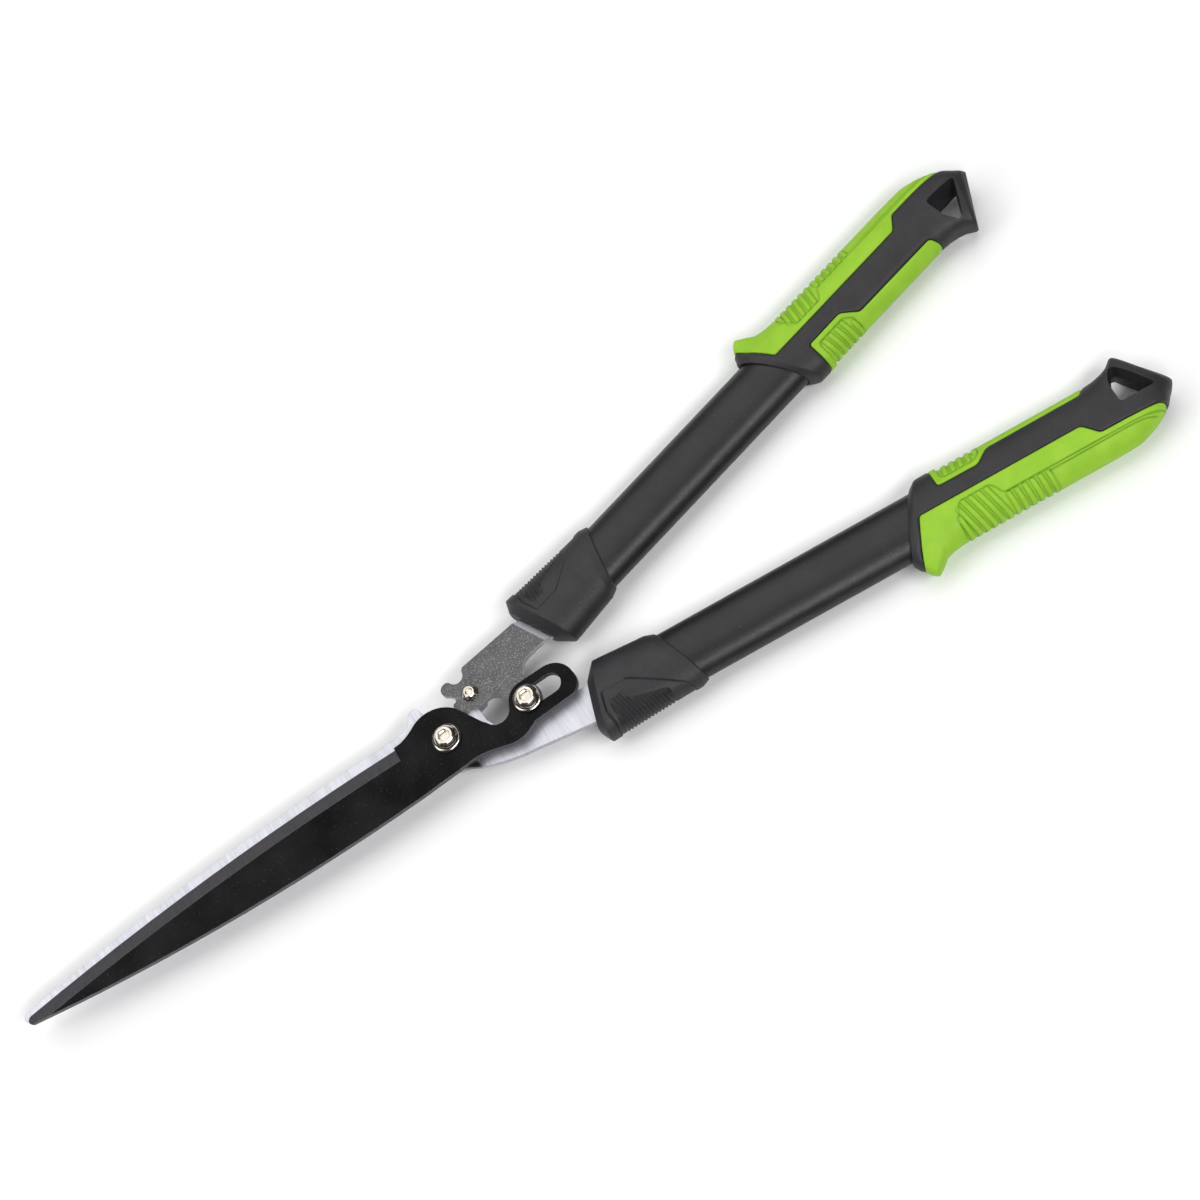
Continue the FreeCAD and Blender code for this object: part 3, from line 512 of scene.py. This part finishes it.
def grid_faces(shape, closed, depth=None):
    """Faces between rings. Where a zone's edge runs through a face's corners, the
    face is split along it. Returns the faces and whether each lies in the zone."""
    rows, count = shape
    inner = []
    outer = []
    last = rows if closed else rows - 1
    for row in range(last):
        after = (row + 1) % rows
        for column in range(count):
            right = (column + 1) % count
            corners = ((row, column), (row, right), (after, right), (after, column))
            face = [place[0] * count + place[1] for place in corners]
            if depth is None:
                outer.append(face)
                continue
            signs = [depth[place] for place in corners]
            low = min(signs)
            high = max(signs)
            if low < 0 < high:
                start = 0 if signs[0] == 0 else 1
                halves = ((start, start + 1, start + 2), (start, start + 2, (start + 3) % 4))
                for half in halves:
                    tip = max((signs[corner] for corner in half), key=abs)
                    (inner if tip > 0 else outer).append([face[corner] for corner in half])
            else:
                (inner if high > 0 else outer).append(face)
    return outer, inner


def shell(faces, used, outside, inside):
    """A closed shell from part of a grid: its outside, its inside and a rim. The used
    points of the grid are the ones that the faces stand on."""
    new = {corner: index for index, corner in enumerate(used)}
    points = np.concatenate([outside[used], inside[used]])
    lift = len(used)
    solid = [[new[corner] for corner in face] for face in faces]
    edges = {}
    for face in solid:
        for start, end in zip(face, face[1:] + face[:1]):
            edges[(start, end)] = True
    rim = [[end, start, start + lift, end + lift] for start, end in edges
           if (end, start) not in edges]
    under = [[corner + lift for corner in reversed(face)] for face in solid]
    return points, solid + under + rim


# ---------------------------------------------------------------- grips

RING_COUNT = 300
SKIN_STEP = 0.36
SKIN_BLUR = 0.6
INSIDE_END = 92.0
# the rows on the wall round the tube come first; these tell them from the outer skin
SKIN_REACH = (16.6, 17.4)
SKIN_HEIGHT = 9.8
RING_END = 20.0
TAIL_START = 110.0
FAR_OUTSIDE = -9.0
PAD_THICK = 1.35
# On the rounded sides a place is measured outward over the top and on down the flank.
FLANK_LEVEL = 10.0
FLANK_SHARE = 0.49
SILHOUETTE = 25.25

GRIP_ROWS = [
    # crossing, lean, outer, inner, half height, squareness
    (88.1, 0.0, 16.2, -16.2, 9.7, 2.0),
    (-5.4, -0.48, 16.2, -16.2, 9.7, 2.0),
    (-5.8, -0.48, 16.3, -16.3, 9.75, 2.0),
    (-5.8, -0.48, 18.3, -17.4, 10.5, 2.0),
    (-2.8, -0.47, 21.0, -20.9, 12.0, 2.1),
    (4.6, -0.43, 20.9, -21.0, 12.0, 2.1),
    (10.2, -0.32, 20.6, -20.9, 12.0, 2.1),
    (14.0, -0.20, 20.5, -20.8, 12.0, 2.1),
    (16.0, -0.15, 20.4, -19.9, 11.9, 2.1),
    (45.0, 0.0, 20.2, -19.7, 11.9, 2.1),
    (92.0, 0.0, 20.2, -19.7, 11.9, 2.1),
    (100.0, 0.05, 20.1, -19.7, 11.7, 2.1),
    (107.0, 0.13, 19.3, -19.9, 11.3, 2.4),
    (114.2, 0.243, 16.1, -20.7, 10.8, 2.9),
    (120.9, 0.345, 12.4, -22.4, 10.4, 3.0),
    (126.0, 0.440, 8.9, -24.3, 10.0, 3.0),
    (130.6, 0.540, 4.9, -25.7, 9.3, 3.0),
    (134.8, 0.650, 1.8, -26.2, 7.6, 3.3),
    (137.7, 0.752, -0.4, -26.0, 4.8, 3.5),
]
# how far the thumb stop is pushed outward, by where the row crosses the axis
HOOK_PLACES = (-3.5, -0.8, 2.5, 5.7, 7.0, 8.0, 9.4, 12.0, 15.0)
HOOK_PUSH = (0.0, 2.0, 5.3, 8.0, 6.2, 4.4, 1.8, 0.6, 0.0)

OUTER_ZONE = [(-0.5, 1.7), (87.0, 1.7), (93.8, 9.3), (126.0, 9.3), (129.5, 10.5),
              (140.0, 40.0), (-18.5, 40.0)]
INNER_ZONE = [(14.5, -8.1), (14.5, -40.0), (101.0, -40.0), (98.8, -20.0), (95.8, -14.8),
              (44.3, -14.6), (36.5, -7.9)]
# panels and lines on the pads, along the handle and round its side
OUTER_PANEL = [(14.3, 30.0), (14.3, 14.0), (15.0, 12.0), (18.5, 5.0), (20.0, 4.0),
               (35.5, 4.0), (37.5, 6.0), (39.5, 10.5), (42.0, 11.8), (64.5, 12.0), (64.5, 30.0)]
OUTER_LINES = [[(42.0, 11.8), (85.0, 12.0), (115.0, 12.3), (123.0, 14.0), (127.0, 16.5)],
               [(64.0, 13.7), (110.0, 13.5), (117.0, 14.5), (121.0, 16.5)]]
INNER_PANEL = [(18.0, 30.0), (17.8, 12.5), (19.0, 10.5), (35.5, 10.5), (37.5, 12.0),
               (40.0, 15.0), (40.5, 30.0)]
PANEL_DROP = 0.62
RIB_PROUD = 0.18
LINE_DROP = 0.5
GROOVE_DROP = 0.38

HANG_HOLE = [(109.8, -0.3), (109.8, -12.5), (113.4, -19.4), (115.9, -19.4), (129.4, -0.3)]
HOLE_LEVELS = (-16.0, -11.0, -9.5, -6.0, -3.0, -1.0, 0.0, 1.0, 3.0, 6.0, 9.5, 11.0, 16.0)
HOLE_MOUTH = 9.5
HOLE_NARROWING = 0.18
HOLE_FLARE = 0.14


def around_side(reach, z):
    """How far round the handle's side a point lies, from its reach off the middle."""
    return reach + (FLANK_LEVEL - np.abs(z)) * FLANK_SHARE


def rib_lines(first, pitch, slants, reaches, overrun=4.0):
    """Centre lines of a row of ribs that run over the silhouette."""
    lines = []
    for index, (slant, reach) in enumerate(zip(slants, reaches)):
        foot = first + pitch * index
        lines.append(np.array([(foot + slant * overrun, SILHOUETTE + overrun),
                               (foot - slant * reach, SILHOUETTE - reach)]))
    return lines


OUTER_RIBS = rib_lines(17.2, 4.25, [0.12] + [0.25] * 5 + [0.08] * 6,
                       [12.7, 17.2] + [19.7] * 4 + [11.7] * 6)
INNER_RIBS = rib_lines(22.3, 4.2, [0.1] * 5, [12.7] * 4 + [8.2])


def near(gap, reach):
    """1 on a line, falling off over the reach."""
    return np.exp(-(gap / reach) ** 2)


def pad_relief(x, side, panel, ribs, lines):
    """A pad's pattern, a sunk panel with raised ribs and some sunk lines: its height,
    and how much painted shade goes into its corners and grooves."""
    panel_depth, _ = depth_in(x, side, rounded(panel, 1.5))
    # painted shade: how far the colour is darkened near the panel's edge, the ribs' flanks and the lines
    painted_groove_shade = near(panel_depth - 0.2, 0.5)
    height = -PANEL_DROP * ease(panel_depth, -0.15, 0.45)
    for rib in ribs:
        gap, _ = to_path(x, side, rib, False)
        height = np.maximum(height, (PANEL_DROP + RIB_PROUD) * ease(-gap, -1.6, -0.8)
                            - PANEL_DROP)
        painted_groove_shade = np.maximum(painted_groove_shade, near(gap - 1.5, 0.4))
    for line in lines:
        gap, _ = to_path(x, side, rounded(line, 5.0, False), False)
        height -= LINE_DROP * near(gap, 0.45)
        painted_groove_shade = np.maximum(painted_groove_shade, near(gap, 0.5))
    return height, painted_groove_shade


def make_hang_hole():
    """Cutter for the hole, narrowest half way through the grip and flared at its mouths."""
    outline = rounded(HANG_HOLE, 2.8, steps=8)
    middle = np.mean(HANG_HOLE, axis=0)
    points = []
    for level in HOLE_LEVELS:
        depth = 1 - min(abs(level) / HOLE_MOUTH, 1.0)
        outside = max(abs(level) - HOLE_MOUTH, 0) / 3
        width = 1.0 - HOLE_NARROWING * depth + HOLE_FLARE * outside
        ring = middle + (outline - middle) * width
        points += [(x, y, level) for x, y in ring]
    count = len(outline)
    faces = []
    for row in range(len(HOLE_LEVELS) - 1):
        for column in range(count):
            right = (column + 1) % count
            faces.append([row * count + column, row * count + right,
                          (row + 1) * count + right, (row + 1) * count + column])
    faces.append(list(reversed(range(count))))
    faces.append([(len(HOLE_LEVELS) - 1) * count + column for column in range(count)])
    return bpy.data.objects.new("hang_hole", make_mesh("hang_hole", points, faces))


def cut_out(mesh, cutter):
    """The mesh with the cutter's shape taken out."""
    blank = bpy.data.objects.new("blank", mesh)
    for item in (blank, cutter):
        bpy.context.scene.collection.objects.link(item)
    step = blank.modifiers.new("cut", "BOOLEAN")
    step.operation = "DIFFERENCE"
    step.solver = "EXACT"
    step.object = cutter
    view = bpy.context.evaluated_depsgraph_get()
    result = bpy.data.meshes.new_from_object(blank.evaluated_get(view))
    result.name = mesh.name
    for item in (blank, cutter):
        bpy.data.objects.remove(item)
    return result


def grip_meshes():
    """The hard core and the two soft pads, all cut from one skin."""
    rows = resample(GRIP_ROWS, SKIN_STEP, SKIN_BLUR, False, sparse_until=INSIDE_END)
    points = ovals(rows, RING_COUNT)
    behind_ring = (rows[:, 0] > RING_END) * (rows[:, 4] > SKIN_HEIGHT)
    on_skin = np.clip(ease(rows[:, 2], *SKIN_REACH) + behind_ring, 0, 1)
    on_skin[rows[:, 0] > TAIL_START] = 1.0
    on_skin[:10] = 0.0
    live = np.repeat(on_skin[:, None], RING_COUNT, axis=1)

    push = np.interp(rows[:, 0], HOOK_PLACES, HOOK_PUSH)[:, None] * live
    push = push * ease(points[..., 1], 12.0, 19.0) * ease(-np.abs(points[..., 2]), -8.5, -3.5)
    points[..., 0] += push * rows[:, 1][:, None]
    points[..., 1] += push

    normal = outward(points, False)
    plan = points[..., 0], points[..., 1]
    outer_depth, outer_growth = depth_in(*plan, rounded(OUTER_ZONE, 1.6))
    inner_depth, inner_growth = depth_in(*plan, rounded(INNER_ZONE, 1.8))
    use_outer = outer_depth > inner_depth
    depth = np.where(use_outer, outer_depth, inner_depth)
    growth = np.where(use_outer[..., None], outer_growth, inner_growth)
    depth[live < 0.5] = FAR_OUTSIDE
    fit_to_edge(points, normal, depth, growth)
    x, y, z = np.moveaxis(points, 2, 0)
    side = around_side(np.abs(y), z)

    outer_relief, outer_painted_shade = pad_relief(x, side, OUTER_PANEL, OUTER_RIBS, OUTER_LINES)
    inner_relief, inner_painted_shade = pad_relief(x, side, INNER_PANEL, INNER_RIBS, [])
    relief = np.where(y > 0, outer_relief, inner_relief) * ease(depth, 0.0, 1.0)
    # the painted shade of whichever pad lies on this side
    painted_groove_shade = np.where(y > 0, outer_painted_shade, inner_painted_shade).reshape(-1)
    turn_in = -0.5 * (1 - np.clip(depth / 0.9, 0, 1)) ** 2
    pad_top = points + normal * (relief + turn_in)[..., None]
    pad_under = points - normal * PAD_THICK
    eased = -GROOVE_DROP * np.exp(-(np.abs(depth) - 0.35) / 0.45)
    sunk = np.where(depth >= 0, -PAD_THICK - 0.05, eased)
    core_points = points + normal * (sunk * live)[..., None]

    outer_faces, pad_faces = grid_faces(depth.shape, False, depth)
    shape = depth.shape
    total = shape[0] * shape[1]
    core_faces = outer_faces + pad_faces
    core_faces.append(list(range(shape[1])))
    core_faces.append([total - 1 - column for column in range(shape[1])])
    core = make_mesh("grip_core", core_points.reshape(-1, 3), core_faces)
    core = cut_out(core, make_hang_hole())
    core.set_sharp_from_angle(angle=math.radians(50))

    meshes = {"grip_core": core}
    flat_y = y.reshape(-1)
    for label, sign in (("outer_grip_pad", 1), ("inner_grip_pad", -1)):
        chosen = [face for face in pad_faces if flat_y[face[0]] * sign > 0]
        used = sorted({corner for face in chosen for corner in face})
        pad_points, faces = shell(chosen, used, pad_top.reshape(-1, 3), pad_under.reshape(-1, 3))
        pad = make_mesh(label, pad_points, faces)
        # the painted shade is stored on the pad as a point attribute
        held = pad.attributes.new("painted_groove_shade", "FLOAT", "POINT")
        held.data.foreach_set("value", np.tile(painted_groove_shade[used], 2))
        pad.set_sharp_from_angle(angle=math.radians(60))
        meshes[label] = pad
    return meshes


# ---------------------------------------------------------------- collars

COLLAR_ROWS = [
    (-168.2, 0.0, 8.9, -10.9, 1.8, 12.0),
    (-181.6, -0.232, 8.9, -10.9, 1.8, 12.0),
    (-181.9, -0.232, 9.4, -11.4, 2.3, 10.0),
    (-181.9, -0.232, 14.6, -12.4, 7.0, 3.0),
    (-177.2, -0.232, 20.9, -20.4, 12.1, 2.3),
    (-172.0, -0.15, 20.7, -20.4, 12.1, 2.2),
    (-155.0, 0.10, 19.7, -19.6, 11.8, 2.1),
    (-138.0, 0.38, 18.9, -18.9, 11.3, 2.0),
    (-133.6, 0.40, 17.2, -17.2, 10.5, 2.0),
    (-133.1, 0.40, 16.4, -16.4, 9.85, 2.0),
    (-133.3, 0.40, 16.2, -16.2, 9.7, 2.0),
    (-168.0, 0.0, 16.2, -16.2, 9.7, 2.0),
]
COLLAR_STEP = [(-177.5, 32.0), (-176.5, 18.0), (-177.5, 10.0), (-175.5, 0.0), (-174.8, -0.7),
               (-161.5, -0.7), (-153.0, 5.0), (-145.0, 10.5), (-137.0, 17.0), (-133.5, 22.5),
               (-133.0, 32.0)]
COLLAR_PANEL = [(-174.0, 32.0), (-174.0, 10.5), (-173.7, 5.6), (-173.0, 4.8), (-167.0, 4.6),
                (-166.3, 5.2), (-165.0, 9.8), (-158.0, 11.5), (-151.0, 14.0), (-145.4, 15.5),
                (-145.2, 32.0)]
COLLAR_RING_COUNT = 264
COLLAR_SKIN_REACH = (17.0, 18.2)
COLLAR_STEP_DROP = 0.6
COLLAR_GROOVE_DROP = 0.35
COLLAR_PANEL_DROP = 0.5
COLLAR_RIB_PITCH = 1.97
COLLAR_RIB_HEIGHT = 0.76
COLLAR_RIB_SLANT = 0.194


def collar_mesh():
    """The collar: a hollow ring with a stepped side and a ribbed panel on it."""
    rows = resample(COLLAR_ROWS, 0.26, 0.35, True)
    points = ovals(rows, COLLAR_RING_COUNT)
    normal = outward(points, True)
    x, y, z = np.moveaxis(points, 2, 0)
    side = around_side(y, z)
    on_skin = ease(rows[:, 2], *COLLAR_SKIN_REACH)[:, None]
    step_depth, _ = depth_in(x, side, rounded(COLLAR_STEP, 1.6))
    panel_depth, _ = depth_in(x, side, rounded(COLLAR_PANEL, 1.6))
    height = -COLLAR_STEP_DROP * ease(step_depth, -0.1, 0.4)
    height -= COLLAR_GROOVE_DROP * near(step_depth - 0.4, 0.4)
    height -= COLLAR_PANEL_DROP * ease(panel_depth, -0.1, 0.4)
    phase = 2 * math.pi * (x - COLLAR_RIB_SLANT * (side - 6.0) + 174.0) / COLLAR_RIB_PITCH
    height += COLLAR_RIB_HEIGHT * (0.5 + 0.5 * np.cos(phase)) * ease(panel_depth, 0.3, 0.8)
    points = points + normal * (height * on_skin)[..., None]
    faces, _ = grid_faces(x.shape, True)
    mesh = make_mesh("collar", points.reshape(-1, 3), faces)
    mesh.set_sharp_from_angle(angle=math.radians(55))
    return mesh


# ---------------------------------------------------------------- bolts and nuts

TURN_COUNT = 96
FREE = 1e6
# a button head's flat top and the foot of its dome, as shares of its radius
TOP_SHARE = 0.59
DOME_SHARE = 0.88
CHAMFER = 0.12


def ring_radius(hexagon, circle):
    """Radii round a ring that is held inside both a hexagon and a circle."""
    angle = np.arange(TURN_COUNT) * 2 * math.pi / TURN_COUNT
    from_flat = np.mod(angle, math.pi / 3) - math.pi / 6
    return np.minimum(hexagon * math.cos(math.pi / 6) / np.cos(from_flat), circle)


def turned_mesh(name, profile, centre, closed=False):
    """A turned or hexagonal piece: rings of (hexagon radius, circle radius, level),
    from the top down. A closed profile is a ring with a hole, an open one is solid."""
    angle = np.arange(TURN_COUNT) * 2 * math.pi / TURN_COUNT
    points = []
    for hexagon, circle, level in profile:
        radius = ring_radius(hexagon, circle)
        points += zip(centre[0] + radius * np.cos(angle), centre[1] + radius * np.sin(angle),
                      np.full(TURN_COUNT, level))
    faces = []
    for row in range(len(profile) if closed else len(profile) - 1):
        after = (row + 1) % len(profile)
        for column in range(TURN_COUNT):
            right = (column + 1) % TURN_COUNT
            faces.append([row * TURN_COUNT + column, after * TURN_COUNT + column,
                          after * TURN_COUNT + right, row * TURN_COUNT + right])
    if not closed:
        faces.append(list(range(TURN_COUNT)))
        faces.append([len(points) - 1 - column for column in range(TURN_COUNT)])
    mesh = make_mesh(name, points, faces)
    mesh.set_sharp_from_angle(angle=math.radians(32))
    return mesh


def box_mm(node):
    low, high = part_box(node)
    return np.array(low) / MM, np.array(high) / MM


def button_head(radius, seat, top, crown, socket, socket_depth):
    """Rings of a button head with a hexagon socket, from the socket's floor outward."""
    centre = top - math.sqrt(crown ** 2 - (TOP_SHARE * radius) ** 2)
    rings = [(0.25 * socket, FREE, top - socket_depth - 0.25),
             (socket - 0.15, FREE, top - socket_depth),
             (socket, FREE, top - socket_depth + 0.2),
             (socket, FREE, top - 0.3),
             (socket + 0.3, FREE, top - 0.02)]
    rings.append((FREE, 0.56 * radius, top))
    for tilt in np.linspace(math.asin(TOP_SHARE * radius / crown),
                            math.asin(DOME_SHARE * radius / crown), 12):
        rings.append((FREE, crown * math.sin(tilt), centre + crown * math.cos(tilt)))
    shoulder = centre + math.sqrt(crown ** 2 - radius ** 2)
    rings += [(FREE, 0.893 * radius, shoulder + 0.35), (FREE, 0.905 * radius, shoulder + 0.22),
              (FREE, radius - CHAMFER, shoulder), (FREE, radius, shoulder - CHAMFER),
              (FREE, radius, seat + CHAMFER), (FREE, radius - CHAMFER, seat)]
    return rings


def threads(radius, top, foot, pitch):
    """Rings of a threaded end, with a chamfered foot."""
    rings = []
    level = top
    while level - pitch > foot + 0.5:
        rings += [(FREE, radius, level), (FREE, radius, level - 0.12 * pitch),
                  (FREE, radius - 0.54 * pitch, level - 0.45 * pitch),
                  (FREE, radius - 0.54 * pitch, level - 0.62 * pitch)]
        level -= pitch
    rings += [(FREE, radius, level), (FREE, radius, foot + 0.5), (FREE, radius - 0.6, foot)]
    return rings


def make_bolt(node, body, seat_node, crown_share, socket_share, pitch, shanks):
    """A button-head bolt as tall as its CAD node, seated on another node's top.
    The shanks are (radius, lower end), the last of them threaded."""
    low, high = box_mm(node)
    centre = (low + high) / 2
    radius = (high[0] - low[0]) / 2
    seat = box_mm(seat_node)[1][2]
    rings = button_head(radius, seat, high[2], crown_share * radius, socket_share * radius,
                        0.63 * (high[2] - seat))
    level = seat
    for width, end in shanks[:-1]:
        rings += [(FREE, width, level), (FREE, width, end)]
        level = end
    rings += [(FREE, shanks[-1][0], level)]
    rings += threads(shanks[-1][0], level - 0.05, low[2], pitch)
    mesh = turned_mesh(node + "_turned", rings, centre)
    add_piece(node + "_turned", mesh, node, body, "bolt_nickel")


def make_nut(node, body, hole):
    """A hexagon nut with both its faces chamfered, and a hole."""
    low, high = box_mm(node)
    centre = (low + high) / 2
    corner = (high[0] - low[0]) / 2
    chamfer = [(corner * (0.87 + 0.13 * share), 0.16 * corner * share)
               for share in (0.0, 0.3, 0.65, 1.0)]
    rings = [(corner, width, high[2] - drop) for width, drop in chamfer]
    rings += [(corner, width, low[2] + drop) for width, drop in reversed(chamfer)]
    rings += [(FREE, hole + 0.5, low[2]), (FREE, hole + 0.05, low[2] + 0.5),
              (FREE, hole + 0.05, high[2] - 0.5), (FREE, hole + 0.5, high[2])]
    mesh = turned_mesh(node + "_turned", rings, centre, closed=True)
    add_piece(node + "_turned", mesh, node, body, "bolt_nickel")


def make_fasteners():
    shoulder = box_mm("slot_nut")[1][2]
    make_bolt("pivot_bolt", "lower_half", "pivot_washer_top", 1.063, 0.437, 1.25,
              [(4.0, box_mm("pivot_nut")[0][2]), (4.0, None)])
    make_bolt("slot_bolt", "lever_half", "slot_washer", 1.063, 0.437, 1.0,
              [(4.0, shoulder), (3.0, box_mm("slot_nut")[0][2]), (3.0, None)])
    make_bolt("lever_screw", "lower_half", "lever_bush", 1.089, 0.42, 0.8,
              [(2.5, box_mm("lever_nut")[0][2]), (2.5, None)])
    make_nut("pivot_nut", "lower_half", 4.0)
    make_nut("slot_nut", "lever_half", 3.0)
    make_nut("lever_nut", "lower_half", 2.5)


# ---------------------------------------------------------------- the whole tool

def dress_cad_nodes():
    """Give every CAD node the look of its material slot, with smooth curved faces."""
    slots = {part["node"]: part["material_slot"] for part in frame["record"]["subparts"]}
    for node, item in frame["nodes"].items():
        item.data.materials.clear()
        item.data.materials.append(MATERIALS[slots[node]])
        item.data.shade_smooth()
        item.data.set_sharp_from_angle(angle=math.radians(25))


def make_handles():
    meshes = grip_meshes()
    meshes["collar"] = collar_mesh()
    slots = {"grip_core": "black_plastic", "collar": "black_plastic",
             "outer_grip_pad": "green_rubber", "inner_grip_pad": "green_rubber"}
    for side, hand, body in SIDES:
        matrix = handle_matrix(side)
        for label, mesh in meshes.items():
            placed = mesh.copy()
            placed.transform(matrix)
            add_piece(hand + label + "_moulded", placed, hand + label, body, slots[label])


FLOOR_SPAN = 4.0
# name, azimuth, elevation, distance, width, height, power
SOFTBOXES = (
    ("key", 175.0, 62.0, 1.7, 2.6, 2.2, 27.0),
    ("fill", 15.0, 50.0, 1.8, 1.8, 0.45, 21.0),
    ("side", -100.0, 40.0, 1.7, 0.9, 1.2, 8.0),
)
STUDIO = {"From Min": 0.05, "From Max": 0.60, "To Min": 0.27, "To Max": 1.05}

CAMERA_AIM = Vector(PIVOT) + Vector((0.10105, 0.01187, -0.00425))
CAMERA_TURN = math.radians(-2.81)
CAMERA_LIFT = math.radians(63.52)
CAMERA_ROLL = math.radians(-35.45)
CAMERA_DISTANCE = 1.2699
CAMERA_LENS = 76.97


def make_floor():
    """A plain pale floor under the tool."""
    span = FLOOR_SPAN
    mesh = bpy.data.meshes.new("floor")
    corners = [(-span, -span, 0), (span, -span, 0), (span, span, 0), (-span, span, 0)]
    mesh.from_pydata(corners, [], [(0, 1, 2, 3)])
    look = Look("pale_floor", 0.8, specular=0.1)
    look.set("Base Color", look.blend(look.fade(look.noise(300.0), 0.3, 0.7),
                                      (0.95, 0.95, 0.95), (0.97, 0.97, 0.97)))
    mesh.materials.append(look.material)
    floor = bpy.data.objects.new("floor", mesh)
    bpy.context.scene.collection.objects.link(floor)


def toward(turn, lift):
    """The direction at an azimuth and an elevation; azimuth 0 is at -Y and 90 at +X."""
    return Vector((math.sin(turn) * math.cos(lift), -math.cos(turn) * math.cos(lift),
                   math.sin(lift)))


def add_softbox(centre, name, azimuth, elevation, distance, width, height, power):
    """A soft area light that faces the centre, in degrees, metres and watts."""
    data = bpy.data.lights.new(name, "AREA")
    data.shape = "RECTANGLE"
    data.size = width
    data.size_y = height
    data.energy = power
    light = bpy.data.objects.new(name, data)
    bpy.context.scene.collection.objects.link(light)
    away = toward(math.radians(azimuth), math.radians(elevation))
    light.location = centre + away * distance
    light.rotation_mode = "QUATERNION"
    light.rotation_quaternion = (-away).to_track_quat("-Z", "Y")


def make_light(centre):
    """Soft boxes, and a studio that is bright overhead and dim near the horizon."""
    for softbox in SOFTBOXES:
        add_softbox(centre, *softbox)
    world = bpy.data.worlds.new("studio")
    world.use_nodes = True
    tree = world.node_tree
    direction = tree.nodes.new("ShaderNodeTexCoord")
    split = tree.nodes.new("ShaderNodeSeparateXYZ")
    strength = tree.nodes.new("ShaderNodeMapRange")
    for name, value in STUDIO.items():
        strength.inputs[name].default_value = value
    tree.links.new(direction.outputs["Generated"], split.inputs[0])
    tree.links.new(split.outputs["Z"], strength.inputs["Value"])
    tree.links.new(strength.outputs["Result"], tree.nodes["Background"].inputs["Strength"])
    bpy.context.scene.world = world
    bpy.context.scene.view_settings.view_transform = "Standard"


def make_camera():
    """Looks down at the tool, rolled so that the handles point up and to the right."""
    data = bpy.data.cameras.new("camera")
    data.lens = CAMERA_LENS
    data.sensor_width = 36.0
    data.clip_end = 20.0
    camera = bpy.data.objects.new("camera", data)
    bpy.context.scene.collection.objects.link(camera)
    back = toward(CAMERA_TURN, CAMERA_LIFT)
    level = Vector((math.cos(CAMERA_TURN), math.sin(CAMERA_TURN), 0.0))
    right = level * math.cos(CAMERA_ROLL) + back.cross(level) * math.sin(CAMERA_ROLL)
    up = back.cross(right)
    place = CAMERA_AIM + back * CAMERA_DISTANCE
    camera.matrix_world = Matrix(((right.x, up.x, back.x, place.x),
                                  (right.y, up.y, back.y, place.y),
                                  (right.z, up.z, back.z, place.z),
                                  (0.0, 0.0, 0.0, 1.0)))
    bpy.context.scene.camera = camera


dress_cad_nodes()
make_handles()
make_fasteners()
make_floor()
make_light((cad_box[0] + cad_box[1]) / 2)
make_camera()
